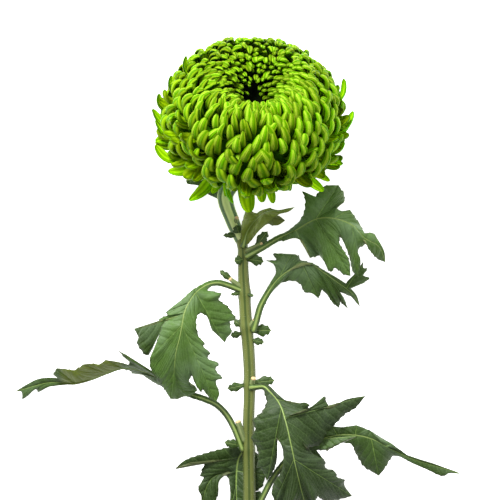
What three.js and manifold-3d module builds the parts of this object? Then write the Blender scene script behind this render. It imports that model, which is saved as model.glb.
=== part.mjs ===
// A cut disbud chrysanthemum lying on its side: an incurved head of ray florets on a ribbed green
// stem with lobed, toothed leaves. Millimetres, +Z up. The flower rests on the back of its head,
// on the cut end of the stem and on the tips of some leaves.
//
// Most of the plant is drawn in the flower's own frame, (across, along, up): "along" runs up the
// stem towards the head, and "up" points away from the surface. The frame's origin is the middle
// of the head. laid() then lays that frame down on the surface.

import * as THREE from 'three';
import Module from 'manifold-3d';
import { ConvexGeometry } from 'three/addons/geometries/ConvexGeometry.js';
import { mergeVertices } from 'three/addons/utils/BufferGeometryUtils.js';

const wasm = await Module();
wasm.setup();

// ---------------------------------------------------------------- driving dimensions (mm, degrees)

const STEM_SLOPE = 3.5;            // the stem falls this much from the head to its cut end
const HEAD_HEIGHT = 40.6;          // middle of the head above the surface
const REST_SPOT = [-2, 16.2];       // across, along: a flat spot where the back of the head lies

const HEAD_TILT = 48;              // the head's own axis, leaning back from straight up
const HEAD_LEAN = 3;               // and to the side
const FLORETS = 220;               // fewer and larger than the 600 or so of the real head
const FLORET_LENGTH = 20;
const FLORET_WIDTH = 9.4;
const FLORET_ARCH = 3.2;           // height of a floret's rounded back
const FLORET_ROOT = 8.5;           // the florets start this far under the skin of the head
const CORE_DEPTH = 6.6;            // and stand out of its solid middle from this depth
const MIDDLE_FLORET = 0.6;         // size of the florets in the sunken middle, as a share of the rest

const BLADE = 0.7;                 // thickness of a leaf blade
const CLEARANCE = 0.3;             // gap between neighbouring pieces

const STEM_SIDES = 10;
const CUT_END = -250;              // along: where the stem was cut

// Section of the head through its axis: [radius, height along the axis], from the floor of the
// sunken middle over the crown and round to the underside.
const HEAD_SECTION = [
  [1.5, 12], [7, 16.5], [12.5, 24.5], [20, 29.5], [31, 28], [40, 18.5],
  [44.5, 5], [43.5, -8], [37, -19], [26, -27], [13, -31],
];
const RECEPTACLE = [-6, -25.5, -22.5];   // where the stem meets the head

// ------------------------------------------------------------------------------- small helpers

const point = ([x, y, z]) => new THREE.Vector3(x, y, z);
const radians = THREE.MathUtils.degToRad;
const slope = radians(STEM_SLOPE);

// Flower frame to the lying object
function laid(p) {
  const along = p.y - REST_SPOT[1];
  return new THREE.Vector3(
    p.x - REST_SPOT[0],
    along * Math.cos(slope) - (p.z + HEAD_HEIGHT) * Math.sin(slope),
    p.y * Math.sin(slope) + p.z * Math.cos(slope) + HEAD_HEIGHT,
  );
}

function seeded(seed) {
  let state = seed;
  return () => {
    state = (state + 0x6d2b79f5) | 0;
    let t = Math.imul(state ^ (state >>> 15), 1 | state);
    t = (t + Math.imul(t ^ (t >>> 7), 61 | t)) ^ t;
    return ((t ^ (t >>> 14)) >>> 0) / 4294967296;
  };
}

function solidOf(points, faces) {
  let volume = 0;
  for (const [a, b, c] of faces) {
    volume += points[a].dot(new THREE.Vector3().crossVectors(points[b], points[c]));
  }
  const triangles = volume > 0 ? faces : faces.map(([a, b, c]) => [a, c, b]);
  return new wasm.Manifold(new wasm.Mesh({
    numProp: 3,
    vertProperties: new Float32Array(points.flatMap((p) => p.toArray())),
    triVerts: new Uint32Array(triangles.flat()),
  }));
}

function solidOfGeometry(geometry) {
  geometry.deleteAttribute('normal');
  geometry.deleteAttribute('uv');
  const merged = mergeVertices(geometry);
  return new wasm.Manifold(new wasm.Mesh({
    numProp: 3,
    vertProperties: new Float32Array(merged.attributes.position.array),
    triVerts: new Uint32Array(merged.index.array),
  }));
}

function geometryOf(solid) {
  const mesh = solid.getMesh();
  const geometry = new THREE.BufferGeometry();
  geometry.setAttribute('position', new THREE.BufferAttribute(mesh.vertProperties, 3));
  geometry.setIndex(new THREE.BufferAttribute(mesh.triVerts, 1));
  geometry.computeVertexNormals();
  return geometry;
}

// Rings of points joined side to side, with a fan of triangles over each end
function loft(rings) {
  const points = [];
  const faces = [];
  const starts = rings.map((ring) => {
    const start = points.length;
    points.push(...ring);
    return start;
  });
  for (let i = 0; i < rings.length - 1; i++) {
    const near = rings[i].length;
    const far = rings[i + 1].length;
    for (let k = 0; k < Math.max(near, far); k++) {
      const a = starts[i] + (k % near);
      const b = starts[i] + ((k + 1) % near);
      const c = starts[i + 1] + (k % far);
      const d = starts[i + 1] + ((k + 1) % far);
      if (near > 1) faces.push([a, b, c]);
      if (far > 1) faces.push([b, d, c]);
    }
  }
  const cap = (start, count, turn) => {
    for (let k = 1; k < count - 1; k++) {
      faces.push(turn ? [start, start + k + 1, start + k] : [start, start + k, start + k + 1]);
    }
  };
  cap(starts[0], rings[0].length, true);
  cap(starts.at(-1), rings.at(-1).length, false);
  return solidOf(points, faces);
}

// A round bar along a curve; radiusAt(fraction, angle) gives its thickness
function bar(curve, steps, sides, radiusAt) {
  const frames = curve.computeFrenetFrames(steps, false);
  const rings = [];
  for (let i = 0; i <= steps; i++) {
    const middle = curve.getPointAt(i / steps);
    const ring = [];
    for (let k = 0; k < sides; k++) {
      const angle = (2 * Math.PI * k) / sides;
      const radius = radiusAt(i / steps, angle);
      ring.push(middle.clone()
        .addScaledVector(frames.normals[i], radius * Math.cos(angle))
        .addScaledVector(frames.binormals[i], radius * Math.sin(angle)));
    }
    rings.push(ring);
  }
  return loft(rings.map((ring) => ring.map(laid)));
}

// ------------------------------------------------------------------------------------- the stem

// Middle line of the stem, from the head down to the cut end: the thick neck bends out to the side
// behind the head, and the stem below the top leaf is thinner and nearly straight.
const NECK_LINE = [RECEPTACLE, [-10.5, -30, -25.5], [-14, -37, -26.5], [-10.5, -49, -25], [-6, -59, -22.6]];
const STEM_LINE = [
  [-6.4, -56, -22.6], [-5.2, -63, -22], [-4.9, -75, -22], [-4.3, -87, -22], [-3.6, -100, -22],
  [-2.4, -113, -22], [-1.7, -126, -22], [-1.8, -137, -22], [-2.3, -154, -22], [-1.9, -182, -22],
  [-1.6, -215, -22],
  [-1.5, CUT_END, -22],
];
const LEAF_NODES = [-60, -67, -86, -103, -132, -165, -196];   // along: where leaves leave the stem
const NECK_RADII = [[0, 4.8], [0.25, 4.3], [0.6, 3.7], [1, 3.2]];
const STEM_RADII = [[0, 2.5], [0.05, 2.4], [0.14, 2.9], [0.25, 3.1], [0.45, 2.8], [0.7, 3.1], [1, 3.3]];

// Stubs of the side shoots that were pinched out: [foot, top, radius]
const STUBS = [
  [[-9.5, -51.5, -23.5], [-8, -47.5, -20.3], 1.0],
  [[-3.6, -64.5, -20.6], [4.4, -60.8, -17.6], 1.0],
  [[-6.2, -82.5, -21], [-11.6, -78.6, -18.6], 1.1],
  [[-1.8, -103, -20.6], [1.0, -99.2, -17.8], 1.1],
  [[-0.9, -133, -20.6], [0.3, -128.6, -17.6], 1.2],
  [[-4, -161, -21.6], [-7.6, -150.4, -18.6], 1.4],
];

function fromTable(table, x) {
  const next = table.findIndex(([at]) => at >= x);
  if (next <= 0) return table[Math.max(next, 0)][1];
  const [x0, y0] = table[next - 1];
  const [x1, y1] = table[next];
  return y0 + ((y1 - y0) * (x - x0)) / (x1 - x0);
}

// Grown by "extra" all round, the same solid cuts the seats of the pieces that touch it
function stemSolid(extra = 0) {
  const ribbing = (angle) => 1 + 0.04 * Math.cos(5 * angle);
  const neckCurve = new THREE.CatmullRomCurve3(NECK_LINE.map(point));
  const stemCurve = new THREE.CatmullRomCurve3(STEM_LINE.map(point));
  const swelling = (fraction) => {
    const along = stemCurve.getPointAt(fraction).y;
    return LEAF_NODES.reduce((sum, node) => sum + 0.14 * Math.exp(-(((along - node) / 2.6) ** 2)), 1);
  };
  let stem = bar(neckCurve, 9, STEM_SIDES,
    (f, angle) => fromTable(NECK_RADII, f) * ribbing(angle) + extra);
  stem = stem.add(bar(stemCurve, 26, STEM_SIDES,
    (f, angle) => fromTable(STEM_RADII, f) * swelling(f) * ribbing(angle) + extra));
  for (const [foot, top, radius] of STUBS) {
    const line = new THREE.LineCurve3(point(foot), point(top));
    const longer = extra ? line.getTangent(0).multiplyScalar(extra) : new THREE.Vector3();
    line.v2.add(longer);
    stem = stem.add(bar(line, 2, 6, (f) => radius * (1.15 - 0.2 * f) + extra));
  }
  return stem;
}

// ------------------------------------------------------------------------------------- the head

// The head's own axes in the flower frame
const headTilt = radians(HEAD_TILT);
const headAxis = new THREE.Vector3(
  Math.sin(radians(HEAD_LEAN)),
  Math.sin(headTilt),
  Math.cos(headTilt),
).normalize();
const headAcross = new THREE.Vector3(1, 0, 0).addScaledVector(headAxis, -headAxis.x).normalize();
const headUp = new THREE.Vector3().crossVectors(headAxis, headAcross);

const headCurve = new THREE.SplineCurve(HEAD_SECTION.map(([r, h]) => new THREE.Vector2(r, h)));

// Point, outward and poleward directions of the head's skin, at a fraction of the section and a
// turn round the axis
function headSkin(fraction, turn) {
  const place = headCurve.getPointAt(fraction);
  const run = headCurve.getTangentAt(fraction);
  const spoke = headAcross.clone().multiplyScalar(Math.cos(turn)).addScaledVector(headUp, Math.sin(turn));
  const skin = spoke.clone().multiplyScalar(place.x).addScaledVector(headAxis, place.y);
  const poleward = spoke.clone().multiplyScalar(-run.x).addScaledVector(headAxis, -run.y);
  const outward = spoke.clone().multiplyScalar(-run.y).addScaledVector(headAxis, run.x);
  return { skin, outward, poleward };
}

// How a floret bends, by its place on the section: the direction of its root and of its tip in
// degrees, from straight out (0) to straight towards the middle of the head (90) and past it
const ROOT_ANGLE = [[0, -60], [0.1, -25], [0.2, 5], [0.3, 8], [0.6, 5], [0.75, -20], [0.88, 30], [1, 60]];
const TIP_ANGLE = [[0, -20], [0.1, 25], [0.2, 85], [0.3, 120], [0.6, 130], [0.75, 105], [0.88, 95], [1, 95]];
const FLORET_STEPS = [[0, 0.7], [0.42, 0.95], [0.78, 1], [0.95, 0.62]];   // [along it, share of its width]

const floretSize = (fraction) => (
  MIDDLE_FLORET + (1 - MIDDLE_FLORET) * THREE.MathUtils.smoothstep(fraction, 0.06, 0.32));

function floret(fraction, turn, random) {
  const { skin, outward, poleward } = headSkin(fraction, turn);
  const sideways = new THREE.Vector3().crossVectors(outward, poleward);
  const wander = radians(26) * (random() - 0.5);
  const heading = poleward.clone().multiplyScalar(Math.cos(wander)).addScaledVector(sideways, Math.sin(wander));
  const side = new THREE.Vector3().crossVectors(outward, heading);
  const first = radians(fromTable(ROOT_ANGLE, fraction) + 16 * (random() - 0.5));
  const last = radians(fromTable(TIP_ANGLE, fraction) + 24 * (random() - 0.5));
  const size = floretSize(fraction);
  const length = FLORET_LENGTH * size * (0.94 + 0.16 * random());
  const width = FLORET_WIDTH * size;
  const root = skin.clone()
    .addScaledVector(outward, -FLORET_ROOT * size)
    .addScaledVector(heading, -length * 0.26);
  const middleAt = (f) => {
    const middle = root.clone();
    const pieces = 8;
    for (let k = 0; k < pieces; k++) {
      const angle = first + (last - first) * f * ((k + 0.5) / pieces);
      middle.addScaledVector(outward, (Math.cos(angle) * length * f) / pieces);
      middle.addScaledVector(heading, (Math.sin(angle) * length * f) / pieces);
    }
    return middle;
  };
  const rings = FLORET_STEPS.map(([f, share]) => {
    const middle = middleAt(f);
    const angle = first + (last - first) * f;
    const back = outward.clone().multiplyScalar(Math.sin(angle)).addScaledVector(heading, -Math.cos(angle));
    return [
      middle.clone().addScaledVector(side, (-width * share) / 2),
      middle.clone().addScaledVector(side, (width * share) / 2),
      middle.clone().addScaledVector(back, FLORET_ARCH * size * share),
    ];
  });
  rings.push([middleAt(1)]);
  return loft(rings.map((ring) => ring.map(laid)));
}

// The solid middle, under the florets
function headCore() {
  const rings = [];
  const steps = 9;
  const sides = 20;
  for (let i = 0; i <= steps; i++) {
    const ring = [];
    for (let k = 0; k < sides; k++) {
      const fraction = 0.02 + (0.98 * i) / steps;
      const { skin, outward } = headSkin(fraction, (2 * Math.PI * k) / sides);
      ring.push(laid(skin.addScaledVector(outward, -CORE_DEPTH * floretSize(fraction))));
    }
    rings.push(ring);
  }
  return loft(rings);
}

// Florets stand at the golden angle to each other, closer together where they are smaller
function bloom() {
  const random = seeded(11);
  const samples = 400;
  const areas = [0];
  for (let i = 1; i <= samples; i++) {
    const fraction = (i - 0.5) / samples;
    areas.push(areas[i - 1] + headCurve.getPointAt(fraction).x / floretSize(fraction) ** 2);
  }
  const goldenAngle = Math.PI * (3 - Math.sqrt(5));
  const pieces = [headCore()];
  for (let i = 0; i < FLORETS; i++) {
    const share = ((i + 0.5) / FLORETS) * areas[samples];
    const fraction = areas.findIndex((area) => area >= share) / samples;
    pieces.push(floret(fraction, i * goldenAngle, random));
  }
  return wasm.Manifold.union(pieces);
}

// The cup of small green bracts on the end of the neck, which holds the florets
const BRACTS = 12;
function involucre(extra = 0) {
  const foot = point(RECEPTACLE);
  const cupAxis = headAxis.clone();
  const cup = (height, radius) => {
    const ring = [];
    for (let k = 0; k < BRACTS; k++) {
      const turn = (2 * Math.PI * k) / BRACTS;
      ring.push(foot.clone()
        .addScaledVector(cupAxis, height)
        .addScaledVector(headAcross, radius * Math.cos(turn))
        .addScaledVector(headUp, radius * Math.sin(turn)));
    }
    return ring.map(laid);
  };
  return loft([cup(0.3 - extra, 4 + extra), cup(2, 8 + extra), cup(4.5, 11 + extra), cup(6.5 + extra, 9)]);
}

// ----------------------------------------------------------------------------------- the leaves

// A leaf is drawn round its edge, from one side of its foot to the other. "rib" is the middle vein
// from the stem to the tip, and its first points up to number "stalk" are bare stalk, "width" wide.
// "hand" is 1 where the drawing starts on the left of the rib, and -1 on the right. Each lobe has
// a vein of its own, from the rib point "at" to "tip"; its edge passes the points "gap" before it
// starts, "out" on the way to the tip and "back" on the way home. The lobe with no tip is the end
// of the leaf. An edge point with no height of its own lies level with the nearest vein, less
// "sag" for each millimetre away from it.
function leafBlade({ rib, stalk, width, hand, sag, lobes }) {
  const points = rib.map(point);
  const faces = [];
  const veins = new Set();
  const add = (p) => points.push(p) - 1;
  const place = (p, chain) => {
    if (p.length === 3) return add(point(p));
    let nearest = Infinity;
    let height = 0;
    for (let i = 0; i < chain.length; i++) {
      for (let f = 0; f < 1; f += 0.25) {
        const vein = points[chain[i]].clone().lerp(points[chain[Math.min(i + 1, chain.length - 1)]], f);
        const away = Math.hypot(vein.x - p[0], vein.y - p[1]);
        if (away < nearest) [nearest, height] = [away, vein.z];
      }
    }
    return add(new THREE.Vector3(p[0], p[1], height - sag * nearest));
  };
  const progress = (chain) => {
    const sums = [0];
    for (let i = 1; i < chain.length; i++) {
      sums.push(sums[i - 1] + points[chain[i]].distanceTo(points[chain[i - 1]]));
    }
    return sums.map((sum) => sum / (sums.at(-1) || 1));
  };
  // Triangles between a run of vein points and a run of edge points
  let last;
  const zip = (inner, outer) => {
    const a = progress(inner);
    const b = progress(outer);
    let i = 0;
    let j = 0;
    while (i < inner.length - 1 || j < outer.length - 1) {
      const stepInside = j === outer.length - 1 || (i < inner.length - 1 && a[i + 1] < b[j + 1]);
      const triangle = stepInside
        ? [inner[i], inner[i + 1], outer[j]]
        : [inner[i], outer[j + 1], outer[j]];
      if (stepInside) i += 1;
      else j += 1;
      if (new Set(triangle).size === 3) faces.push(triangle);
    }
    last = outer.at(-1);
  };
  const stalkEdge = (i, side) => {
    const ahead = points[i + 1].clone().sub(points[Math.max(i - 1, 0)]);
    const across = new THREE.Vector3(-ahead.y, ahead.x, 0).setLength((side * width) / 2);
    return add(points[i].clone().add(across));
  };
  const ribRun = (from, to) => {
    const run = [];
    for (let i = from; i !== to; i += Math.sign(to - from)) run.push(i);
    return [...run, to];
  };

  let side = hand;
  let from = 0;
  last = stalkEdge(0, side);
  for (const { at, tip, gap = [], out = [], back = [], small } of lobes) {
    const run = ribRun(from, at);
    const stalkPoints = run.slice(1, -1).filter((i) => i <= stalk).map((i) => stalkEdge(i, side));
    zip(run, [last, ...stalkPoints, ...gap.map((p) => place(p, run))]);
    let vein = ribRun(at, rib.length - 1);
    if (tip) {
      const stations = small ? [0.5] : [0.35, 0.7];
      vein = stations.map((f) => add(points[at].clone().lerp(point(tip), f)));
      vein.forEach((id) => veins.add(id));
      vein = [at, ...vein, add(point(tip))];
    } else {
      side = -hand;
    }
    zip(vein, [last, ...out.map((p) => place(p, vein)), vein.at(-1)]);
    zip([...vein].reverse(), [vein.at(-1), ...back.map((p) => place(p, vein))]);
    from = at;
  }
  const home = ribRun(from, 0);
  const stalkHome = home.slice(1).filter((i) => i <= stalk).map((i) => stalkEdge(i, side));
  zip(home, [last, ...stalkHome]);
  return { points, faces, veins, ribCount: rib.length, hand };
}

// The blade's two faces are split into triangles alike, and each pair of triangles is a small
// wedge of its own, joined to the next along its walls, so that lobes may cross each other.
// Underneath, the stalk and the veins stand out from the blade.
const STALK_DEPTH = 1.5;
const VEIN_DEPTH = 0.25;
function leaf(drawing, extra = 0) {
  const { points, faces, veins, ribCount, hand } = leafBlade(drawing);
  const normals = points.map(() => new THREE.Vector3());
  for (const [a, b, c] of faces) {
    const ab = points[b].clone().sub(points[a]);
    const ac = points[c].clone().sub(points[a]);
    for (const i of [a, b, c]) normals[i].add(ab.clone().cross(ac));
  }
  normals.forEach((normal) => normal.setLength(hand));
  const upper = points.map((p, i) => laid(p.clone().addScaledVector(normals[i], BLADE / 2 + extra)));
  const lower = points.map((p, i) => {
    const rib = i < ribCount ? STALK_DEPTH * (1 - i / (ribCount - 1)) ** 0.8 : 0;
    const vein = veins.has(i) ? VEIN_DEPTH : 0;
    return laid(p.clone().addScaledVector(normals[i], -BLADE / 2 - extra - rib - vein));
  });
  const wedges = faces.map((corners) => solidOfGeometry(
    new ConvexGeometry([...corners.map((i) => upper[i]), ...corners.map((i) => lower[i])]),
  ));
  return wasm.Manifold.union(wedges);
}

const LEAF_TOP = {
  hand: 1, stalk: 0, width: 3.4, sag: 0.25,
  rib: [
    [-4.6, -61, -19.4], [-3.2, -55.5, -18], [-0.5, -51, -14.5], [2.5, -47.8, -10], [5.5, -45.5, -5],
    [9.5, -44.3, -1], [13.5, -44.8, 1.5], [17.5, -44, 2], [21, -42.5, 1.5],
  ],
  lobes: [
    { at: 3, tip: [-3.5, -43.5, -12], small: true,
      gap: [[-6.2, -58.5, -18.4], [-6, -52, -16]], out: [[-5, -48, -14]], back: [[-0.8, -44.6, -10]] },
    { at: 4, tip: [8.6, -42.8, -3], small: true,
      gap: [[1.7, -45.6, -9]], out: [[4.3, -44, -6]], back: [[9.6, -43.4, -1.5]] },
    { at: 5, out: [[13, -44, 1.2], [17, -43.2, 1.8]], back: [[17.8, -44.9, 1.6], [13.7, -45.9, 1]] },
    { at: 4, tip: [16, -49.4, -5],
      gap: [[10.2, -47.6, -2.5]], out: [[12.7, -47.2, -2]],
      back: [[13, -51.4, -6], [10.4, -51.8, -6.5], [7.4, -51, -8], [5.3, -52.3, -10.5], [2.3, -55.2, -14],
        [-0.6, -59, -17]] },
  ],
};

const LEAF_NECK = {
  hand: -1, stalk: 0, width: 2.6, sag: 0.1,
  rib: [[-15.5, -38.5, -28.5], [-19, -33, -30], [-24, -29.3, -31], [-29, -28.3, -31], [-34, -28.6, -30.5]],
  lobes: [
    { at: 2, tip: [-23, -24.5, -31], small: true,
      gap: [[-17, -32, -30]], out: [[-20, -28, -30.5]], back: [[-26, -25.8, -31]] },
    { at: 3, out: [[-31, -26, -30.8]], back: [[-33.5, -30.3, -30.6], [-29.5, -31, -31]] },
    { at: 1, tip: [-22.5, -36, -31.5], small: true, gap: [[-26, -31.6, -31]], back: [[-19, -37.5, -31]] },
  ],
};

const LEAF_UPPER_RIGHT = {
  hand: 1, stalk: 2, width: 3.2, sag: 0.3,
  rib: [
    [-2.2, -66.8, -18.2], [4.5, -63, -17], [13, -58, -13.5], [21.5, -54, -8.5], [31.5, -48.5, -3],
    [40.5, -48.2, 1], [49.5, -51.5, 2], [55.8, -58, -0.5], [63, -62.2, -5], [66.6, -70.2, -12],
  ],
  lobes: [
    { at: 4, tip: [43, -31.4, -9],
      gap: [[17, -54.6], [23.3, -49.5]],
      out: [[25.5, -45], [26.1, -38.6], [25, -34.7], [28.4, -36.1], [30.3, -38.1], [33.8, -33.5], [36.3, -31.7]],
      back: [[45.9, -36.1], [46.1, -39.3]] },
    { at: 5, tip: [48.5, -43.8, -1], small: true,
      gap: [[41.4, -42.8]], out: [[44.3, -44.4]], back: [[53.5, -50.8]] },
    { at: 7, gap: [[55.8, -55.5]], out: [[60.3, -55.6], [62.5, -58.5], [66, -64.8]],
      back: [[62.8, -68.7], [57.7, -63.5]] },
    { at: 6, tip: [52.9, -77.5, -9],
      gap: [[56.8, -60.7]], out: [[52.6, -64.2], [53.9, -68.7]],
      back: [[50.2, -75, -10], [48.5, -68, -7.5], [46, -61.5, -3.5]] },
    { at: 4, tip: [48.8, -77, -2],
      gap: [[43.6, -56.5]], out: [[43.3, -60.5, 0.5], [46.2, -65.5, 0], [48.1, -69, -0.5]],
      back: [[45.5, -76.3], [41.1, -73.1], [38.9, -75], [37.9, -74.4], [35.7, -69.9]] },
    { at: 3, tip: [28.7, -68, -9],
      gap: [[33.5, -66.8]], back: [[26.5, -62.3], [23.9, -58.8], [20.7, -58.1], [15, -59.7]] },
  ],
};

const LEAF_MIDDLE_RIGHT = {
  hand: 1, stalk: 3, width: 3.4, sag: 0.3,
  rib: [
    [0.6, -103.5, -18.2], [1.8, -99.5, -17], [4, -92, -15], [8.5, -84, -12.5], [13, -78.2, -10],
    [18.5, -74, -8], [24.5, -70.5, -7.5], [30.5, -72, -8], [36.5, -76, -9.5], [42, -80, -12],
    [47, -83.5, -15], [51, -87, -18.5], [54.2, -92.9, -23],
  ],
  lobes: [
    { at: 4, tip: [19.5, -66, -9],
      gap: [[9.2, -79.5]], out: [[11.5, -75], [9.8, -70.6], [6.7, -69.3], [11.7, -68.7], [9.9, -66.1]],
      back: [[22.3, -66.4], [23.9, -69]] },
    { at: 10, tip: [55.5, -69.9, -13],
      gap: [[30.9, -71], [34.7, -73.5], [42.4, -78], [46.8, -80.8]], out: [[47.7, -79.5], [52, -75]],
      back: [[55.7, -73.1], [57.7, -73.1], [55.7, -77], [59, -77.9], [55.7, -80.8]] },
    { at: 10, gap: [[49.4, -83.4]], out: [[52.4, -87]], back: [[49.6, -87.6]] },
    { at: 8, tip: [47.8, -93.5, -19],
      gap: [[43.9, -85.2]], out: [[46, -88.4]], back: [[45.4, -91.5]] },
    { at: 7, tip: [43.4, -93.2, -18],
      gap: [[44.2, -89.4]], back: [[40.5, -91], [37.3, -86.5]] },
    { at: 6, tip: [33, -88.4, -13],
      gap: [[34.7, -84]],
      back: [[29.6, -85.8], [25.8, -85.2], [24.9, -83.3], [23.3, -80.8], [19.4, -79.5], [14.3, -80.5]] },
  ],
};

const LEAF_LEFT = {
  hand: -1, stalk: 3, width: 3.2, sag: 0.3,
  rib: [
    [-6.2, -84.3, -20.5], [-12, -82, -17.5], [-17.5, -80.5, -13], [-21.6, -81, -9.5], [-24.7, -82.3, -7],
    [-28.8, -85.4, -4], [-32.3, -90.5, -1.5], [-34.4, -95.5, 0], [-35.5, -101.7, 1], [-36.7, -107.8, 1],
    [-38.5, -115, 0], [-39.2, -122, -2.5], [-38.7, -129.2, -7], [-35.4, -134.8, -11.5], [-28, -134.6, -14.5],
  ],
  lobes: [
    { at: 6, tip: [-43.9, -95.3, -4], small: true,
      gap: [[-24.7, -80.6], [-30.8, -84.2]], out: [[-35.9, -88.9], [-40, -92]] },
    { at: 7, tip: [-59.9, -103.7, -13],
      gap: [[-42.6, -96.8]], out: [[-46.5, -98.2, -6], [-51.2, -103.8, -10], [-57.9, -103.2, -12]],
      back: [[-57.6, -108.5, -13], [-58.6, -110.4, -13.5], [-56.6, -114.2, -13.5], [-53.3, -117.2, -13],
        [-48, -108, -10.5], [-45.6, -99.2, -6.5]] },
    { at: 8, tip: [-51.7, -118, -3],
      gap: [[-41.8, -98.6, -2.4]], out: [[-45.2, -101, -1.2], [-46.2, -104, -0.8], [-48.9, -111.4]],
      back: [[-51.7, -122], [-50.4, -126]] },
    { at: 11, tip: [-41.5, -138.9, -12], small: true,
      gap: [[-46.5, -129.5]], out: [[-44.5, -134]], back: [[-38, -139.2, -13]] },
    { at: 12, gap: [[-35.5, -138, -13.5]], out: [[-31, -137.2, -15]], back: [[-28.8, -132.8, -13]] },
    { at: 8, tip: [-18.5, -140.5, -9],
      gap: [[-31.6, -131.5, -9], [-31.9, -129, -7], [-30.6, -127, -5]],
      out: [[-29.3, -130.5, -5], [-26.2, -135, -6], [-25.2, -134.3], [-22.1, -137.9]],
      back: [[-16.9, -135.9], [-18.5, -129.7], [-15.2, -128.3], [-18.8, -124.1], [-17.2, -120.8],
        [-22.6, -118.3], [-21.5, -115.5], [-24.6, -112.4], [-24.4, -110.4], [-27.2, -107.3]] },
    { at: 5, tip: [-14.2, -110.6, -12],
      gap: [[-28.2, -102.2], [-28, -97.5], [-26, -95.3]], out: [[-23.1, -97.6], [-20.6, -104.2], [-17.2, -107.5]],
      back: [[-12.7, -107.8], [-10.9, -105.8], [-11.4, -99.6], [-8.4, -99.1], [-10.4, -95.5], [-12.4, -92.5],
        [-17, -88.7], [-15.8, -86.2, -6], [-19.5, -84.8, -6.5], [-22.8, -84.2, -7]] },
  ],
};

const LEAF_FAR_LEFT = {
  hand: -1, stalk: 5, width: 3.2, sag: 0.3,
  rib: [
    [-5.6, -164, -20.5], [-9.5, -154, -20], [-13.5, -147, -19], [-18.5, -142, -18.2], [-24.5, -139.2, -17.8],
    [-30.5, -137.2, -17.6], [-37.5, -134, -17], [-46.5, -129, -14.5], [-55.5, -125, -11.5], [-64.5, -123.5, -10],
    [-72.5, -126, -12], [-80.5, -129.3, -14.5], [-88.5, -131.2, -17.5], [-95.5, -130.5, -20.5],
    [-102.5, -130.5, -24], [-110.5, -132.5, -28], [-118.7, -134.9, -31],
  ],
  lobes: [
    { at: 6, tip: [-67, -114.4, 1.5],
      gap: [[-33, -134.5, -15.5]], out: [[-43, -129.5, -12.5], [-52, -124, -5.5]],
      back: [[-64.8, -117.5, -0.5], [-62, -120, -4]] },
    { at: 9, tip: [-74, -119.2, -4], small: true,
      gap: [[-62.5, -121.8, -6]], out: [[-67.5, -120.3, -5]], back: [[-76.9, -121.4, -6]] },
    { at: 10, tip: [-85.2, -121.5, -6], small: true, out: [[-80, -121, -5]], back: [[-89.6, -124.5, -10]] },
    { at: 12, tip: [-98.4, -123.4, -13], small: true, out: [[-93, -124, -10]], back: [[-99.8, -126.5, -17]] },
    { at: 13, gap: [[-97.5, -128.2, -19.5]],
      out: [[-102.4, -127.9, -22.5], [-107.2, -128.6, -25.5], [-112.8, -131.4, -28.5]],
      back: [[-115.1, -134.9, -30.6], [-114.7, -138.3, -31], [-112.6, -137.4, -30.2], [-108.4, -133.9, -28],
        [-107.2, -135.1, -27.8], [-102.4, -132.6, -25.5]] },
    { at: 11, tip: [-88, -127.5, -26], small: true,
      gap: [[-95, -132, -22]], out: [[-91, -130.5, -24]], back: [[-82, -128, -22]] },
    { at: 9, tip: [-75, -122.5, -25], small: true,
      gap: [[-77, -127, -18]], out: [[-76.5, -125, -22]], back: [[-69, -123.5, -19]] },
    { at: 7, tip: [-58, -126, -27],
      gap: [[-61, -125, -14]], out: [[-61, -126.5, -20]], back: [[-50, -131, -20], [-42, -134.5, -15]] },
  ],
};

const LEAF_FRONT = {
  hand: -1, stalk: 1, width: 3.4, sag: 0.3,
  rib: [
    [0.2, -133.2, -18], [5.5, -132.8, -14], [8.5, -135.2, -10], [12, -139, -5], [14.2, -143, -1.5],
    [15.8, -148, 1.5], [17.2, -153, 3.5], [18.5, -159, 4.5], [19.8, -165, 4.5], [20.5, -168.5, 4],
    [21.8, -174, 2.5], [23.5, -181.5, -1], [25.5, -189, -6], [27.5, -196.5, -12], [29.5, -204, -18],
    [31.5, -211.5, -24],
  ],
  lobes: [
    { at: 4, tip: [7, -180, -9],
      gap: [[5.8, -136.6, -12.5], [7, -140, -8.5]],
      out: [[4.6, -144.9], [0, -149.5], [1.2, -153.5], [-0.8, -158.4], [2, -163.6], [2.5, -169.5], [1.7, -173.2],
        [3.8, -173.8]],
      back: [[9.7, -176], [11.4, -172], [12.2, -166], [11.4, -160.5]] },
    { at: 9, tip: [8, -197, -14],
      gap: [[11.8, -157.5]],
      out: [[14.6, -163], [14.9, -171.5], [13.3, -176.3], [10.9, -179.5], [9.7, -183], [9.3, -186.3], [11, -190]],
      back: [[13, -197]] },
    { at: 11, gap: [[18, -193]], out: [[21, -199], [22.5, -205]], back: [[33.5, -204], [33.5, -197]] },
    { at: 9, tip: [50, -188, -15],
      gap: [[31, -191], [32.5, -187]], out: [[37, -190.5], [42, -190]],
      back: [[46, -182.3], [46, -179.5], [42.5, -178], [40.9, -174.8], [36.5, -173.2], [36, -169.5], [31, -166.5]] },
    { at: 5, tip: [56.5, -137, -4],
      gap: [[26.5, -163]], out: [[31, -162.2], [34, -161.2], [37, -155.5], [40.5, -152], [46, -146.5], [51.5, -143]],
      back: [[46, -138.9], [41.7, -141.7], [39.5, -144.3], [38, -143.3], [35.7, -137], [33.3, -140.5],
        [30.3, -141.7], [29.3, -145.2]] },
    { at: 3, tip: [29.7, -142.5, -3],
      gap: [[25.5, -145]], out: [[27.5, -144.6]],
      back: [[26.1, -140.3], [21.3, -141], [18.1, -140.5], [13.4, -136.9], [10.2, -134]] },
  ],
};

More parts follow.
